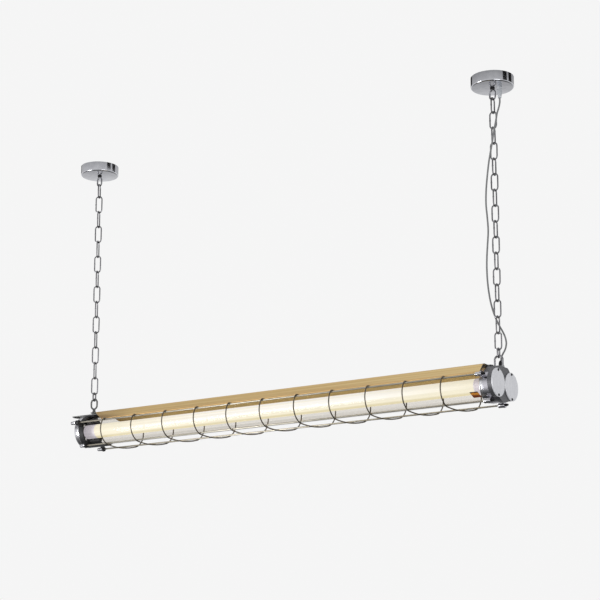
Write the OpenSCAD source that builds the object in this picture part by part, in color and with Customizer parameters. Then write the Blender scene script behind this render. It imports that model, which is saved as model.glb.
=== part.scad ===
// Linear chandelier: a clear glass tube with a light tube inside it, a folded brass reflector
// over it and a wire guard round it, hung level on two chains from two ceiling roses.
// The origin is on the ceiling plane, midway between the roses. X runs along the lamp to the
// end with the junction box, Y runs away from the viewer and Z points up.

/* [Suspension] */
// Distance between the two chains
span = 1180; // [1140:5:1220]
// Height from the ceiling down to the axis of the lamp
drop = 725; // [690:1:760]
// Wire diameter of the chain links
chain_wire = 3.4; // [3:0.1:3.8]
// Outer width of a chain link
link_width = 19.5; // [18:0.5:21]
// Outer length of the single link that hangs in each ceiling eye
top_link_length = 41; // [38:1:44]
// Number of links in the right chain, below its top link
links_right = 15; // [13:2:17]
// Number of links in the left chain, below its top link
links_left = 13; // [11:2:15]
// Turn of the left chain about its own length, in degrees
left_twist = 22; // [0:1:25]
// Wire diameter of the short connecting links
quick_wire = 3.8; // [3.4:0.1:4.2]
// Outer length of the short connecting links
quick_length = 25; // [24:0.1:26]
// Outer width of the short connecting links
quick_width = 14; // [13:0.5:15]
// Gap left between two wires that bear on each other
bear_gap = 0.3; // [0.2:0.05:0.5]

/* [Ceiling roses] */
// Outer diameter of a rose
rose_d = 100; // [90:1:120]
// Height of a rose
rose_h = 25; // [22:1:30]
// Sheet thickness of a rose
rose_wall = 1.2; // [1:0.1:1.6]
// Radius of the lower edge of a rose
rose_edge = 3; // [2:0.5:5]
// Distance between the two ceiling screws of one bracket
screw_spacing = 60; // [54:1:66]
// Diameter of the ceiling screw holes
screw_hole_d = 5.2; // [4:0.1:6]
// Length of a ceiling bracket
bracket_length = 80; // [78:1:84]
// Width of a ceiling bracket
bracket_w = 20; // [18:1:24]
// Thickness of a ceiling bracket
bracket_t = 2; // [1.5:0.1:3]
// Wire diameter of the ceiling eyes
eye_wire = 4; // [3.5:0.1:4.5]
// Outer height of the ceiling eyes
eye_length = 27; // [25:0.5:30]
// Outer width of the ceiling eyes
eye_width = 18; // [17:0.5:20]
// Distance from the right eye to the cord grip
grip_offset = 18; // [17:0.5:20]
// Outer diameter of the cord grip
grip_d = 12; // [11:0.5:13]
// Height of the cord grip below the rose
grip_h = 28; // [24:1:28]
// Diameter of the supply cord
cord_d = 4; // [3.6:0.1:4.2]

/* [Glass and light tube] */
// Outer diameter of the glass tube
glass_d = 75; // [72:0.5:75.5]
// Wall of the glass tube
glass_wall = 2.5; // [1.5:0.1:4]
// Outer diameter of the light tube
light_d = 36; // [30:0.5:38]
// Wall of the light tube
light_wall = 1.5; // [1:0.1:2]
// Length of the left end cap of the light tube
light_cap_left = 36; // [20:1:40]
// Length of the right end cap of the light tube
light_cap_right = 56.5; // [30:0.5:80]
// Width of the strip of light sources
led_w = 12; // [8:1:20]
// Distance between the two contact pins
pin_spacing = 12.7; // [11.7:0.1:14]
// Diameter of a contact pin
pin_d = 2.4; // [2:0.1:2.8]
// Length of a contact pin
pin_length = 7; // [6:0.1:7]

/* [Guard] */
// Radius of the circle that the four tie rods stand on
rod_circle = 55; // [54.5:0.1:57]
// Diameter of the tie rods
rod_d = 4; // [3.6:0.1:4.4]
// Diameter of the guard wires
wire_d = 2.5; // [2:0.1:2.8]
// Number of guard wires
wire_count = 11; // [8:1:12]
// Distance from each chain to the nearest end of the guard wires
guard_margin = 77.75; // [76:0.25:100]
// How far a guard wire moves along the lamp as it crosses under the tube
wire_advance = 37.5; // [20:0.5:45]
// How far a guard wire bows down between the two lower rods
wire_bow = 6; // [1:0.5:8]
// How far a guard wire bulges out between the upper and the lower rod
wire_bulge = 7; // [0:0.5:10]

/* [Reflector] */
// Distance from the left chain to the reflector's left end
reflector_inset_left = 30; // [24:1:60]
// How much further in the lower edges of the wings begin at the left end
wing_inset = 38; // [0:1:44]
// Distance from the right chain to the reflector's right end
reflector_inset_right = 23; // [22:1:60]
// Width of the flat top of the reflector
reflector_top = 55; // [48:0.5:57]
// Sheet thickness of the reflector
sheet_t = 0.8; // [0.6:0.1:1.2]
// Number of screws that hold the reflector to its rail
reflector_screw_count = 5; // [3:1:7]
// Width of the steel rail under the reflector
rail_w = 24; // [20:1:26]
// Thickness of the steel rail
rail_t = 2.5; // [2:0.1:3]
// How far the rail stands out past the left chain
rail_over = 68; // [40:1:80]

/* [End fittings] */
// Height of the rail's underside above the lamp axis
rail_low = 42; // [42:0.1:42.8]
// Outer radius of the clamp ring and of the left flange
ring_r = 41.5; // [41:0.1:41.8]
// Length of the clamp ring on the glass
clamp_length = 11; // [9:0.5:12]
// Outer radius of the collar of the junction box
collar_r = 43; // [42.4:0.1:44]
// Length of the collar of the junction box
collar_length = 22; // [22:0.5:23]
// Depth of the junction box in front of the collar
box_depth = 10; // [10:0.5:12]
// Height of the box's flat top above the lamp axis
bow_seat = 38; // [37.6:0.1:38.4]
// Diameter of the two round covers
cover_d = 65; // [63:0.5:66]
// Thickness of the covers
cover_t = 2; // [1.5:0.1:3]
// Distance between the centres of the two covers
cover_spacing = 67; // [66.5:0.5:70]
// Drop of the cover centres below the lamp axis
cover_low = 3; // [1:0.5:4]
// Radius of the circle that the screws of one cover stand on
cover_screw_circle = 28.5; // [28.3:0.1:28.8]
// Length of the chrome cup at the left end
cup_length = 16; // [15:0.5:18]
// Outer radius of the chrome cup
cup_r = 41.6; // [41:0.1:41.7]
// Length of the left flange
flange_length = 14; // [13:0.5:15]
// Length of the cradle that runs from the left flange under the glass
cradle_length = 60; // [30:1:70]
// How far the lugs of the two lower rods stand inwards at the left end
low_lug_shift = 18; // [16:0.5:24]
// Radius of the lugs that the tie rods pass through
lug_r = 6.5; // [5.5:0.1:7]
// Wire diameter of the right lifting bow and of the left eye nut
bow_wire = 4.5; // [4:0.1:5]
// Outer width of the right lifting bow and of the left eye nut
bow_width = 24; // [23:0.5:26]
// Outer height of the ring of the left eye nut
ring_length = 31; // [29:0.5:33]
// Height of the hexagonal foot of the left eye nut
ring_foot = 13; // [11:0.1:14]

/* [Hidden] */
$fn = 48;

// Clearances that the pieces share
seat_gap = 0.3;
slide_gap = 0.2;
thread_gap = 0.1;
hole_gap = 0.4;
film_gap = 0.1;

// Places along the lamp, from the chains
flange_over = 16;
glass_over = 22;
glass_short = 16;
light_over = 20;
collar_over = 20;
pad_over = 6.2;
cup_wall = 4;
gasket_t = 2;
left = -span / 2;
right = span / 2;
flange_left = left - flange_over;
flange_right = flange_left + flange_length;
cup_left = flange_left - cup_length;
glass_left = left - glass_over;
glass_right = right - glass_short;
light_left = left - light_over;
light_right = right;
collar_left = right - collar_over;
collar_right = collar_left + collar_length;
box_right = collar_right + box_depth;
clamp_left = collar_left - clamp_length;
pad_left = collar_left + pad_over;
reflector_left = left + reflector_inset_left;
reflector_right = right - reflector_inset_right;
reflector_length = reflector_right - reflector_left;

// Ceiling fittings
stud_d = 5;
post_d = 10;
nut_w = 10;
nut_h = 3;
stud_depth = 8;
stud_top = -stud_depth;
grip_thread = 10;
grip_thread_depth = 17;
grip_thread_top = -grip_thread_depth;
grip_nut_w = 14;
grip_nut_h = 4;
grip_lip = 2;
terminal_w = 14;
terminal_length = 16;
terminal_h = 10;
terminal_y = 8;

// Heights of the wires that bear on each other, from the eye down
eye_high = -rose_h - nut_h - eye_wire / 2;
eye_low = eye_high - eye_length + eye_wire;
top_link_high = eye_low + (eye_wire + chain_wire) / 2 + bear_gap;
top_link_low = top_link_high - top_link_length + chain_wire;

// Heights above the lamp axis
glass_r = glass_d / 2;
glass_bore = glass_r - glass_wall;
seat_play = 0.5;
seat_ledge = 4;
glass_seat = glass_r + seat_play;
cavity_r = glass_seat - seat_ledge;
rail_high = rail_low + rail_t;
reflector_high = rail_high + sheet_t;

// The lower pivots of both chains lie at one height
ring_high = -drop + rail_high + ring_foot + ring_length - bow_wire / 2;
pivot_z = ring_high - (bow_wire + quick_wire) / 2 - bear_gap;
quick_reach = quick_length - quick_wire;
left_chain_low = pivot_z + quick_reach - (chain_wire + quick_wire) / 2 - bear_gap;
right_chain_low = pivot_z - (chain_wire + quick_wire) / 2 - bear_gap;
bow_high = pivot_z - quick_reach + (bow_wire + quick_wire) / 2 + bear_gap;
left_pitch = (top_link_low - left_chain_low) / links_left;
right_pitch = (top_link_low - right_chain_low) / links_right;

// Tie rods stand at these angles, measured from the Y axis
front_high = 162;
front_low = 230;
rear_low = 310;
rear_high = 18;
rod_angles = [front_high, front_low, rear_low, rear_high];
lug_length = 10;
low_lug_length = 4;
lug_inset = 4;
left_lug_lengths = [lug_length, low_lug_length, low_lug_length, lug_length];
right_lug_length = 4;
right_lug_lengths = [for (i = [0 : 3]) right_lug_length];
cap_nut_length = 19;
cap_nut_r = 5.5;
dark_nut_length = 7.7;
dark_nut_r = 3.3;
nut_cap = 4;
dark_nut_cap = 3;
spacer_length = 12.5;
spacer_r = [4.8, 6, 6, 4.8];
lug_left = flange_right - lug_inset / 2 - lug_length;
low_lug_left = lug_left + low_lug_shift;
low_lug_right = collar_left + 13;
lugs_left = [lug_left, low_lug_left, low_lug_left, lug_left];
lugs_right = [collar_left, low_lug_right, low_lug_right, collar_left];

// Guard wires hook over the upper rods
wrap_r = (rod_d + wire_d) / 2 + seat_gap;
wire_r = rod_circle + wrap_r;
wire_first = left + guard_margin;
wire_pitch = (span - 2 * guard_margin - wire_advance) / (wire_count - 1);
hook_shift = 5;
wire_sides = 6;

// Foot and stud of the left eye nut
ring_foot_w = 11;
ring_stud_d = 6;
ring_stud_depth = 3;

// Reflector's folded edges rest on the hooks of the guard wires
hem_r = 1;
edge_gap = wrap_r + wire_d / 2 + seat_gap + hem_r;

// Junction box
cover_lip = 0.5;
drum_r = cover_d / 2 - cover_lip;
drum_cavity_r = 26;
lead_hole_y = 22;
lead_hole_r = 5;
leg_depth = 3.5;
bow_nut_w = 8.5;
cover_gasket_t = 0.8;
floor_t = 2;
cover_y = cover_spacing / 2;
cover_face = box_right + cover_gasket_t + cover_t;
screw_d = 3;
screw_head_r = 3;
screw_head_t = 1.6;

// Lampholders
holder_r = 15;
holder_length = 7.4;
groove_gap = 0.4;

// Cord gland on the box, beside the lifting bow
gland_y = 12;
gland_high = 55;
gland_hex = 4;
gland_thread = 10;
gland_w = 13;

// Plain label on the glass
label_inset = 55;
label_left = right - label_inset;
label_length = 20;
label_t = 0.3;
label_start = 209;
label_sweep = 24;

// Route of the supply cord, from the grip down to the gland, chosen by hand
grip_x = right + grip_offset;
grip_low = -rose_h - grip_h;
gland_top_z = -drop + gland_high;
cord_route = [
    [608, 0, -53], [608, 0, -62.8], [607, -3, -75.5], [604, -7, -91.2], [602, -10, -108.8],
    [599, -12, -126.5], [596, -13, -144.1], [593, -13, -159.8], [589, -12, -175.4],
    [585, -11, -191.1], [581, -10, -208.7], [575, -7, -239.1], [570, -4, -270.4],
    [568, -2, -302.7], [570, -1, -335.1], [571, 0, -365.4], [568, 1, -398.7],
    [565, 2, -430.1], [564, 3, -461.4], [565, 5, -494.7], [568, 8, -526], [573, 11, -551.5],
    [580, 13, -573], [588, 13, -589.7], [596, 13, -604.4], [602, 12, -618.1],
    [604, 12, -631.8], [601, 12, -644.5], [595, 12, -654.3], [591, 12, -662.2],
    [590, 12, -670]
];
cord_steps = 2;
cord_sides = 8;
cord_top_end = 3;
cord_middle_end = 26;
lead_d = 2.4;

// Vector helpers for tubes that are swept along points
function unit(v) = v / norm(v);
function tangent(p, i) = unit(p[min(i + 1, len(p) - 1)] - p[max(i - 1, 0)]);
function across(t, ref) = unit(ref - (ref * t) * t);

// A smooth curve through the points p, with n steps from each point to the next
function spline_point(a, b, c, d, t) =
    0.5 * (2 * b + (c - a) * t + (2 * a - 5 * b + 4 * c - d) * t * t
    + (3 * b - a - 3 * c + d) * t * t * t);
function smooth(p, n) = concat(
    [for (i = [0 : len(p) - 2], k = [0 : n - 1])
        spline_point(p[max(i - 1, 0)], p[i], p[i + 1], p[min(i + 2, len(p) - 1)], k / n)],
    [p[len(p) - 1]]);

// One ring of points round a path at its point i
function ring_points(path, i, d, sides, ref) =
    let(t = tangent(path, i), u = across(t, ref), v = cross(t, u))
    [for (k = [0 : sides - 1])
        path[i] + d / 2 * (cos(360 * k / sides) * u + sin(360 * k / sides) * v)];

// A round tube swept along a path, from its point first to its point last
module tube(path, first, last, d, sides, ref) {
    rings = last - first;
    points = [for (i = [first : last]) each ring_points(path, i, d, sides, ref)];
    start_cap = [for (k = [1 : sides - 2]) [0, k, k + 1]];
    end_cap = [for (k = [1 : sides - 2]) [rings * sides, rings * sides + k + 1, rings * sides + k]];
    skin = [for (i = [0 : rings - 1], k = [0 : sides - 1])
        let(a = i * sides + k, b = i * sides + (k + 1) % sides)
        each [[a, a + sides, b + sides], [a, b + sides, b]]];
    polyhedron(points, concat(start_cap, end_cap, skin));
}

// A cylinder along X
module x_rod(x0, x1, r, y = 0, z = 0) {
    translate([x0, y, z]) rotate([0, 90, 0]) cylinder(h = x1 - x0, r = r);
}

// A flat outline in Y and Z, drawn out along X
module x_profile(x0, x1) {
    translate([x0, 0, 0]) rotate([90, 0, 90]) linear_extrude(x1 - x0) children();
}

// A ring round the lamp axis, turned from an outline of length and radius
module x_turned() {
    rotate([0, 90, 0]) rotate_extrude() children();
}

// Moves what is drawn about the lamp axis down to its place
module on_axis() {
    translate([0, 0, -drop]) children();
}

// The place of the tie rod at an angle, in Y and Z
function rod_place(a) = [rod_circle * cos(a), rod_circle * sin(a)];

// An oval ring of round wire in the XZ plane, centred on the origin
module oval_ring(length, width, wire) {
    bend = (width - wire) / 2;
    straight = (length - width) / 2;
    union() {
        for (up = [-1, 1])
            translate([0, 0, up * straight]) rotate([90 * up, 0, 0])
                rotate_extrude(angle = 180) translate([bend, 0]) circle(wire / 2);
        for (turn = [0, 180])
            rotate([0, 0, turn]) translate([bend, 0, -straight])
                cylinder(h = 2 * straight, r = wire / 2);
    }
}

// A chain link between the centres of its upper and its lower bend
module hung_link(x, high, low, width, wire, turn) {
    translate([x, 0, (high + low) / 2]) rotate([0, 0, turn])
        oval_ring(high - low + wire, width, wire);
}

// A row of links below a top link, each a quarter turn from the last
module chain(x, count, pitch, twist) {
    reach = pitch + chain_wire + bear_gap;
    for (i = [0 : count - 1]) {
        high = top_link_low + chain_wire + bear_gap - i * pitch;
        hung_link(x, high, high - reach, link_width, chain_wire, twist + 90 * (i % 2));
    }
}

// Steel bar across the ceiling box, with its two screw holes
module ceiling_bracket(x) {
    difference() {
        translate([x - bracket_w / 2, -bracket_length / 2, -bracket_t])
            cube([bracket_w, bracket_length, bracket_t]);
        for (y = [-screw_spacing / 2, screw_spacing / 2])
            translate([x, y, -bracket_t - 1]) cylinder(h = bracket_t + 2, d = screw_hole_d);
    }
}

module ceiling_brackets() {
    color("silver") {
        ceiling_bracket(left);
        ceiling_bracket(right);
    }
}

// Threaded post between a bracket and its rose
module bracket_post(x) {
    low = -rose_h + rose_wall;
    difference() {
        translate([x, 0, low]) cylinder(h = -bracket_t - low, d = post_d);
        translate([x, 0, low - 1])
            cylinder(h = stud_top - low + 2, d = stud_d + 2 * thread_gap);
    }
}

module bracket_posts() {
    color("silver") {
        bracket_post(left);
        bracket_post(right);
    }
}

// Half outline of a rose or of its hollow, with a rounded lower edge
module rose_outline(r, h, edge) {
    translate([0, edge - h]) square([r, h - edge]);
    translate([0, -h]) square([r - edge, edge]);
    translate([r - edge, edge - h]) circle(edge);
}

module rose(x) {
    translate([x, 0, 0]) difference() {
        rotate_extrude($fn = 96) intersection() {
            difference() {
                rose_outline(rose_d / 2, rose_h, rose_edge);
                rose_outline(rose_d / 2 - rose_wall, rose_h - rose_wall, rose_edge - rose_wall);
            }
            translate([0, -rose_h]) square([rose_d, rose_h]);
        }
        translate([0, 0, -rose_h - 1])
            cylinder(h = rose_wall + 2, d = stud_d + 2 * thread_gap);
        children();
    }
}

module rose_left() {
    color("gainsboro") rose(left);
}

module rose_right() {
    color("gainsboro") rose(right) {
        translate([grip_offset, 0, -rose_h - 1])
            cylinder(h = rose_wall + 2, d = grip_thread + 2 * slide_gap);
    }
}

// Ceiling eye with its threaded stud
module eye_bolt(x) {
    hung_link(x, eye_high, eye_low, eye_width, eye_wire, 0);
    translate([x, 0, eye_high]) cylinder(h = stud_top - seat_gap - eye_high, d = stud_d);
}

module eye_bolt_left() {
    color("silver") eye_bolt(left);
}

module eye_bolt_right() {
    color("silver") eye_bolt(right);
}

module eye_nut(x) {
    translate([x, 0, -rose_h - nut_h]) difference() {
        cylinder(h = nut_h, d = nut_w * 2 / sqrt(3), $fn = 6);
        translate([0, 0, -1]) cylinder(h = nut_h + 2, d = stud_d + 2 * thread_gap);
    }
}

module eye_nuts() {
    color("black") {
        eye_nut(left);
        eye_nut(right);
    }
}

// Tapered grip that holds the cord where it leaves the rose
module cord_grip() {
    nose_r = cord_d / 2 + grip_lip;
    color("whitesmoke") translate([grip_x, 0, 0]) difference() {
        rotate_extrude() polygon([[0, grip_thread_top], [grip_thread / 2, grip_thread_top],
            [grip_thread / 2, -rose_h], [grip_d / 2, -rose_h], [grip_d / 2, -rose_h - grip_h / 2],
            [nose_r, grip_low], [0, grip_low]]);
        translate([0, 0, grip_low - 1])
            cylinder(h = grip_thread_top - grip_low + 2, d = cord_d + hole_gap);
    }
}

module cord_grip_nut() {
    low = -rose_h + rose_wall;
    color("whitesmoke") translate([grip_x, 0, low]) difference() {
        cylinder(h = grip_nut_h, d = grip_nut_w, $fn = 6);
        translate([0, 0, -1])
            cylinder(h = grip_nut_h + 2, d = grip_thread + 2 * thread_gap);
    }
}

// Terminal block on the right bracket
module ceiling_terminal() {
    color("ivory") difference() {
        translate([right - terminal_w / 2, terminal_y, -bracket_t - terminal_h])
            cube([terminal_w, terminal_length, terminal_h]);
        for (y = [0.25, 0.75])
            translate([right, terminal_y + terminal_length * y, -bracket_t - terminal_h - 1])
                cylinder(h = terminal_h / 2, d = screw_d);
    }
}

// End of the cord inside the grip and the rose
module ceiling_lead() {
    high = grip_thread_top + 10;
    end_x = right + terminal_w / 2 + seat_gap;
    end_y = terminal_y + terminal_length / 2;
    path = smooth([[grip_x, 0, grip_low + seat_gap], [grip_x, 0, grip_low + 12],
        [grip_x, 0, grip_thread_top], [grip_x - 1, 3, high - 6], [grip_x - 4, 9, high - 2],
        [end_x + 5, end_y - 2, high - 0.4], [end_x + 3, end_y, high], [end_x, end_y, high]], 1);
    color("gray") tube(path, 0, len(path) - 1, cord_d, cord_sides, [0, 1, 0.2]);
}

module top_link_left() {
    color("silver")
        hung_link(left, top_link_high, top_link_low, link_width, chain_wire, 90 + left_twist);
}

module top_link_right() {
    color("silver")
        hung_link(right, top_link_high, top_link_low, link_width, chain_wire, 90);
}

module chain_left() {
    color("silver") chain(left, links_left, left_pitch, left_twist);
}

module chain_right() {
    color("silver") chain(right, links_right, right_pitch, 0);
}

module quick_link_left() {
    color("gray")
        hung_link(left, pivot_z + quick_reach, pivot_z, quick_width, quick_wire, 90);
}

module quick_link_right() {
    color("gray")
        hung_link(right, pivot_z, pivot_z - quick_reach, quick_width, quick_wire, 90);
}

// A stretch of the supply cord between two points of its route
module cord_stretch(first, last) {
    path = smooth(cord_route, cord_steps);
    color("gray") tube(path, first * cord_steps, last * cord_steps, cord_d, cord_sides, [0, 1, 0]);
}

module cord_top() {
    cord_stretch(0, cord_top_end);
}

module cord_middle() {
    cord_stretch(cord_top_end, cord_middle_end);
}

module cord_lower() {
    cord_stretch(cord_middle_end, len(cord_route) - 1);
}

// Oval ring on a hexagonal foot, screwed through the rail into the flange
module eye_nut_left() {
    ring_low = rail_high + ring_foot;
    color("dimgray") on_axis() translate([left, 0, 0]) {
        translate([0, 0, ring_low + ring_length / 2]) oval_ring(ring_length, bow_width, bow_wire);
        translate([0, 0, rail_high])
            cylinder(h = ring_foot + bow_wire / 2, d = ring_foot_w, $fn = 6);
        translate([0, 0, rail_low - ring_stud_depth])
            cylinder(h = rail_t + ring_stud_depth + 1, d = ring_stud_d);
    }
}

// Bent rod with both legs screwed into the box
module lifting_bow() {
    bend = (bow_width - bow_wire) / 2;
    leg_low = bow_seat - leg_depth;
    color("silver") translate([right, 0, 0]) {
        translate([0, 0, bow_high - bend]) rotate([90, 0, 0])
            rotate_extrude(angle = 180) translate([bend, 0]) circle(bow_wire / 2);
        for (side = [-1, 1])
            translate([side * bend, 0, -drop + leg_low])
                cylinder(h = bow_high - bend + drop - leg_low, r = bow_wire / 2);
    }
}

module bow_nuts() {
    bend = (bow_width - bow_wire) / 2;
    color("silver") on_axis() for (side = [-1, 1])
        translate([right + side * bend, 0, bow_seat]) rotate([0, 0, 30]) difference() {
            cylinder(h = nut_h, d = bow_nut_w, $fn = 6);
            translate([0, 0, -1]) cylinder(h = nut_h + 2, d = bow_wire + 2 * thread_gap);
        }
}

// Places of the screws through the rail
rail_screw_left = 6;
rail_screw_right = 3;
rail_screw_depth = 2.5;
reflector_screw_depth = 1.5;
rail_screw_x = [flange_left + rail_screw_left, collar_left + rail_screw_right];
reflector_screw_x = [for (i = [0 : reflector_screw_count - 1])
    reflector_left + reflector_length * (i + 0.5) / reflector_screw_count];

// Flat steel bar that carries the reflector and ties both ends together
module top_rail() {
    color("darkgray") on_axis() difference() {
        translate([left - rail_over, -rail_w / 2, rail_low])
            cube([pad_left - slide_gap - left + rail_over, rail_w, rail_t]);
        for (x = concat(rail_screw_x, reflector_screw_x))
            translate([x, 0, rail_low - 1]) cylinder(h = rail_t + 2, d = screw_d + hole_gap);
        translate([left, 0, rail_low - 1])
            cylinder(h = rail_t + 2, d = ring_stud_d + hole_gap);
    }
}

// Pan head screw that points down, with the underside of its head at the origin
module pan_screw(length) {
    cylinder(h = screw_head_t, r = screw_head_r);
    translate([0, 0, -length]) cylinder(h = length, d = screw_d);
}

module rail_screws() {
    color("dimgray") on_axis() for (x = rail_screw_x)
        translate([x, 0, rail_high]) pan_screw(rail_t + rail_screw_depth);
}

module reflector_screws() {
    color("dimgray") on_axis() for (x = reflector_screw_x)
        translate([x, 0, reflector_high]) pan_screw(sheet_t + rail_t + reflector_screw_depth);
}

// Folded sheet: a flat top and two sloping wings with a round hem
module reflector() {
    corner = [reflector_top / 2, reflector_high];
    rod = rod_place(rear_high);
    slope = unit(rod - corner);
    edge = rod - edge_gap * slope;
    inner_edge = edge + sheet_t * [slope[1], -slope[0]];
    inner_corner = [corner[0] - sheet_t * 0.5, rail_high];
    half = [corner, edge, inner_edge, inner_corner];
    hem = (edge + inner_edge) / 2;
    color("darkkhaki") on_axis() difference() {
        union() {
            x_profile(reflector_left, reflector_right)
                polygon(concat(half, [for (i = [3 : -1 : 0]) [-half[i][0], half[i][1]]]));
            for (side = [-1, 1])
                x_rod(reflector_left, reflector_right, hem_r, side * hem[0], hem[1]);
        }
        for (x = reflector_screw_x)
            translate([x, 0, rail_high - 1]) cylinder(h = sheet_t + 2, d = screw_d + hole_gap);
        translate([0, rod_circle, 0]) rotate([90, 0, 0]) linear_extrude(2 * rod_circle)
            polygon([[reflector_left - 1, rail_high - 3],
                [reflector_left + wing_inset, edge[1] - 2 * hem_r],
                [reflector_left + wing_inset, 0], [reflector_left - 1, 0]]);
    }
}

module glass_tube() {
    color("lightcyan", 0.4) on_axis() difference() {
        x_rod(glass_left, glass_right, glass_r, $fn = 96);
        x_rod(glass_left - 1, glass_right + 1, glass_bore, $fn = 96);
    }
}

// Rubber ring between one end of the glass and its seat
module glass_gasket(x0) {
    difference() {
        x_rod(x0, x0 + gasket_t, glass_r);
        x_rod(x0 - 1, x0 + gasket_t + 1, glass_bore);
    }
}

module glass_gaskets() {
    color("black") on_axis() {
        glass_gasket(glass_left - gasket_t);
        glass_gasket(glass_right);
    }
}

// Chrome cup over the left end of the glass
module end_cup() {
    shoulder = glass_left - gasket_t;
    edge = 4;
    color("gainsboro") on_axis() difference() {
        translate([cup_left, 0, 0]) x_turned() {
            translate([0, edge]) square([cup_r, cup_length - edge]);
            square([cup_r - edge, cup_length - 1]);
            translate([cup_r - edge, edge]) circle(edge);
        }
        x_rod(shoulder, flange_left + 1, glass_seat);
        x_rod(cup_left + cup_wall, shoulder + 1, cavity_r);
    }
}

// Lugs with the holes for the tie rods, joined to the axis by flat arms
module lugs(starts, lengths) {
    arm_w = 2 * lug_r - 2;
    for (i = [0 : 3]) {
        place = rod_place(rod_angles[i]);
        x_rod(starts[i], starts[i] + lengths[i], lug_r, place[0], place[1]);
        translate([starts[i], 0, 0]) rotate([rod_angles[i], 0, 0]) translate([0, 0, -arm_w / 2])
            cube([lengths[i], rod_circle - lug_r / 2, arm_w]);
    }
}

// Lowest part of a round bar, which joins the arms of the two lower lugs
module cradle(x0, x1, r) {
    reach = 27;
    intersection() {
        x_rod(x0, x1, r);
        translate([x0 - 1, -reach, -2 * r]) cube([x1 - x0 + 2, 2 * reach, 2 * r]);
    }
}

module rod_holes(x0, x1) {
    for (a = rod_angles)
        x_rod(x0, x1, (rod_d + hole_gap) / 2, rod_place(a)[0], rod_place(a)[1]);
}

// Cast flange behind the cup, with four lugs and the saddle for the rail
module end_flange() {
    saddle_length = 26;
    cradle_high = glass_seat / 2;
    color("dimgray") on_axis() difference() {
        union() {
            x_rod(flange_left, flange_right, ring_r);
            cradle(flange_left, flange_left + cradle_length, ring_r);
            lugs(lugs_left, left_lug_lengths);
            translate([flange_left, -rail_w / 2, 0])
                cube([saddle_length, rail_w, rail_low]);
        }
        x_rod(flange_left - 1, flange_left + cradle_length + 1, glass_seat);
        translate([flange_right, -rail_w, -cradle_high])
            cube([saddle_length, 2 * rail_w, cradle_high + glass_seat]);
        rod_holes(lug_left - 1, low_lug_left + low_lug_length + 1);
        translate([left, 0, rail_low - ring_stud_depth - 0.5])
            cylinder(h = ring_stud_depth + 2, d = ring_stud_d + 2 * thread_gap);
        translate([rail_screw_x[0], 0, rail_low - rail_screw_depth - 0.5])
            cylinder(h = rail_screw_depth + 2, d = screw_d + 2 * thread_gap);
    }
}

module clamp_ring() {
    edge = 1.5;
    color("gainsboro") on_axis() difference() {
        translate([clamp_left, 0, 0]) x_turned() {
            square([ring_r - edge, clamp_length]);
            translate([0, edge]) square([ring_r, clamp_length - 2 * edge]);
            for (x = [edge, clamp_length - edge])
                translate([ring_r - edge, x]) circle(edge);
        }
        x_rod(clamp_left - 1, collar_left + 1, glass_r + seat_gap);
    }
}

// Casting at the right end: a collar for the glass and two drums under the covers
module junction_box() {
    shoulder = glass_right + gasket_t;
    floor_left = collar_right;
    floor_right = collar_right + floor_t;
    bend = (bow_width - bow_wire) / 2;
    color("slategray") on_axis() difference() {
        union() {
            x_rod(collar_left, box_right, collar_r);
            lugs(lugs_right, right_lug_lengths);
            for (y = [-cover_y, cover_y]) x_rod(floor_left, box_right, drum_r, y, -cover_low);
            translate([floor_left, -cover_y, -cover_low - drum_r * 0.8])
                cube([box_depth, cover_spacing, drum_r * 1.6]);
        }
        x_rod(collar_left - 1, shoulder, glass_seat);
        x_rod(collar_left, floor_left, cavity_r);
        x_rod(floor_left - 1, box_right - 3, holder_r + seat_gap);
        for (y = [-cover_y, cover_y]) {
            x_rod(floor_right, box_right + 1, drum_cavity_r, y, -cover_low);
            for (z = [-cover_screw_circle, cover_screw_circle])
                x_rod(floor_right, box_right + 1, screw_d / 2 + thread_gap, y, z - cover_low);
        }
        for (y = [-lead_hole_y, lead_hole_y])
            x_rod(floor_left - 1, floor_right + 1, lead_hole_r, y, -cover_low);
        rod_holes(collar_left - 1, low_lug_right + right_lug_length + 1);
        translate([collar_left - 1, -rail_w, rail_low])
            cube([box_depth + collar_length + 2, 2 * rail_w, collar_r]);
        translate([pad_left, -rail_w, bow_seat])
            cube([box_depth + collar_length, 2 * rail_w, collar_r]);
        for (side = [-1, 1]) translate([right + side * bend, 0, bow_seat - leg_depth - seat_gap])
            cylinder(h = leg_depth + 2, d = bow_wire + 2 * thread_gap);
        translate([right, gland_y, cavity_r - 6])
            cylinder(h = 12, d = gland_thread + 2 * thread_gap);
        translate([rail_screw_x[1], 0, rail_low - rail_screw_depth - 0.5])
            cylinder(h = rail_screw_depth + 2, d = screw_d + 2 * thread_gap);
    }
}

module tie_rods() {
    color("silver") on_axis() for (i = [0 : 3])
        x_rod(lugs_left[i] - cap_nut_length + nut_cap,
            lugs_right[i] + right_lug_length + dark_nut_length - dark_nut_cap, rod_d / 2,
            rod_place(rod_angles[i])[0], rod_place(rod_angles[i])[1]);
}

// Chrome sleeves that bear on the lugs of the box from the inside
module rod_spacers() {
    color("gainsboro") on_axis() for (i = [0 : 3]) {
        place = rod_place(rod_angles[i]);
        translate([lugs_right[i] - spacer_length, place[0], place[1]]) difference() {
            x_rod(0, spacer_length, spacer_r[i]);
            x_rod(-1, spacer_length + 1, (rod_d + slide_gap) / 2);
        }
    }
}

// Domed nut with its open end at the origin and its dome towards plus X
module cap_nut(length, r, depth) {
    difference() {
        union() {
            rotate([0, 90, 0]) cylinder(h = length * 0.5, r = r, $fn = 6);
            x_rod(length * 0.5, length - r * 0.8, r * 0.8);
            translate([length - r * 0.8, 0, 0]) sphere(r * 0.8);
        }
        x_rod(-1, depth, (rod_d + slide_gap) / 2);
    }
}

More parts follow.
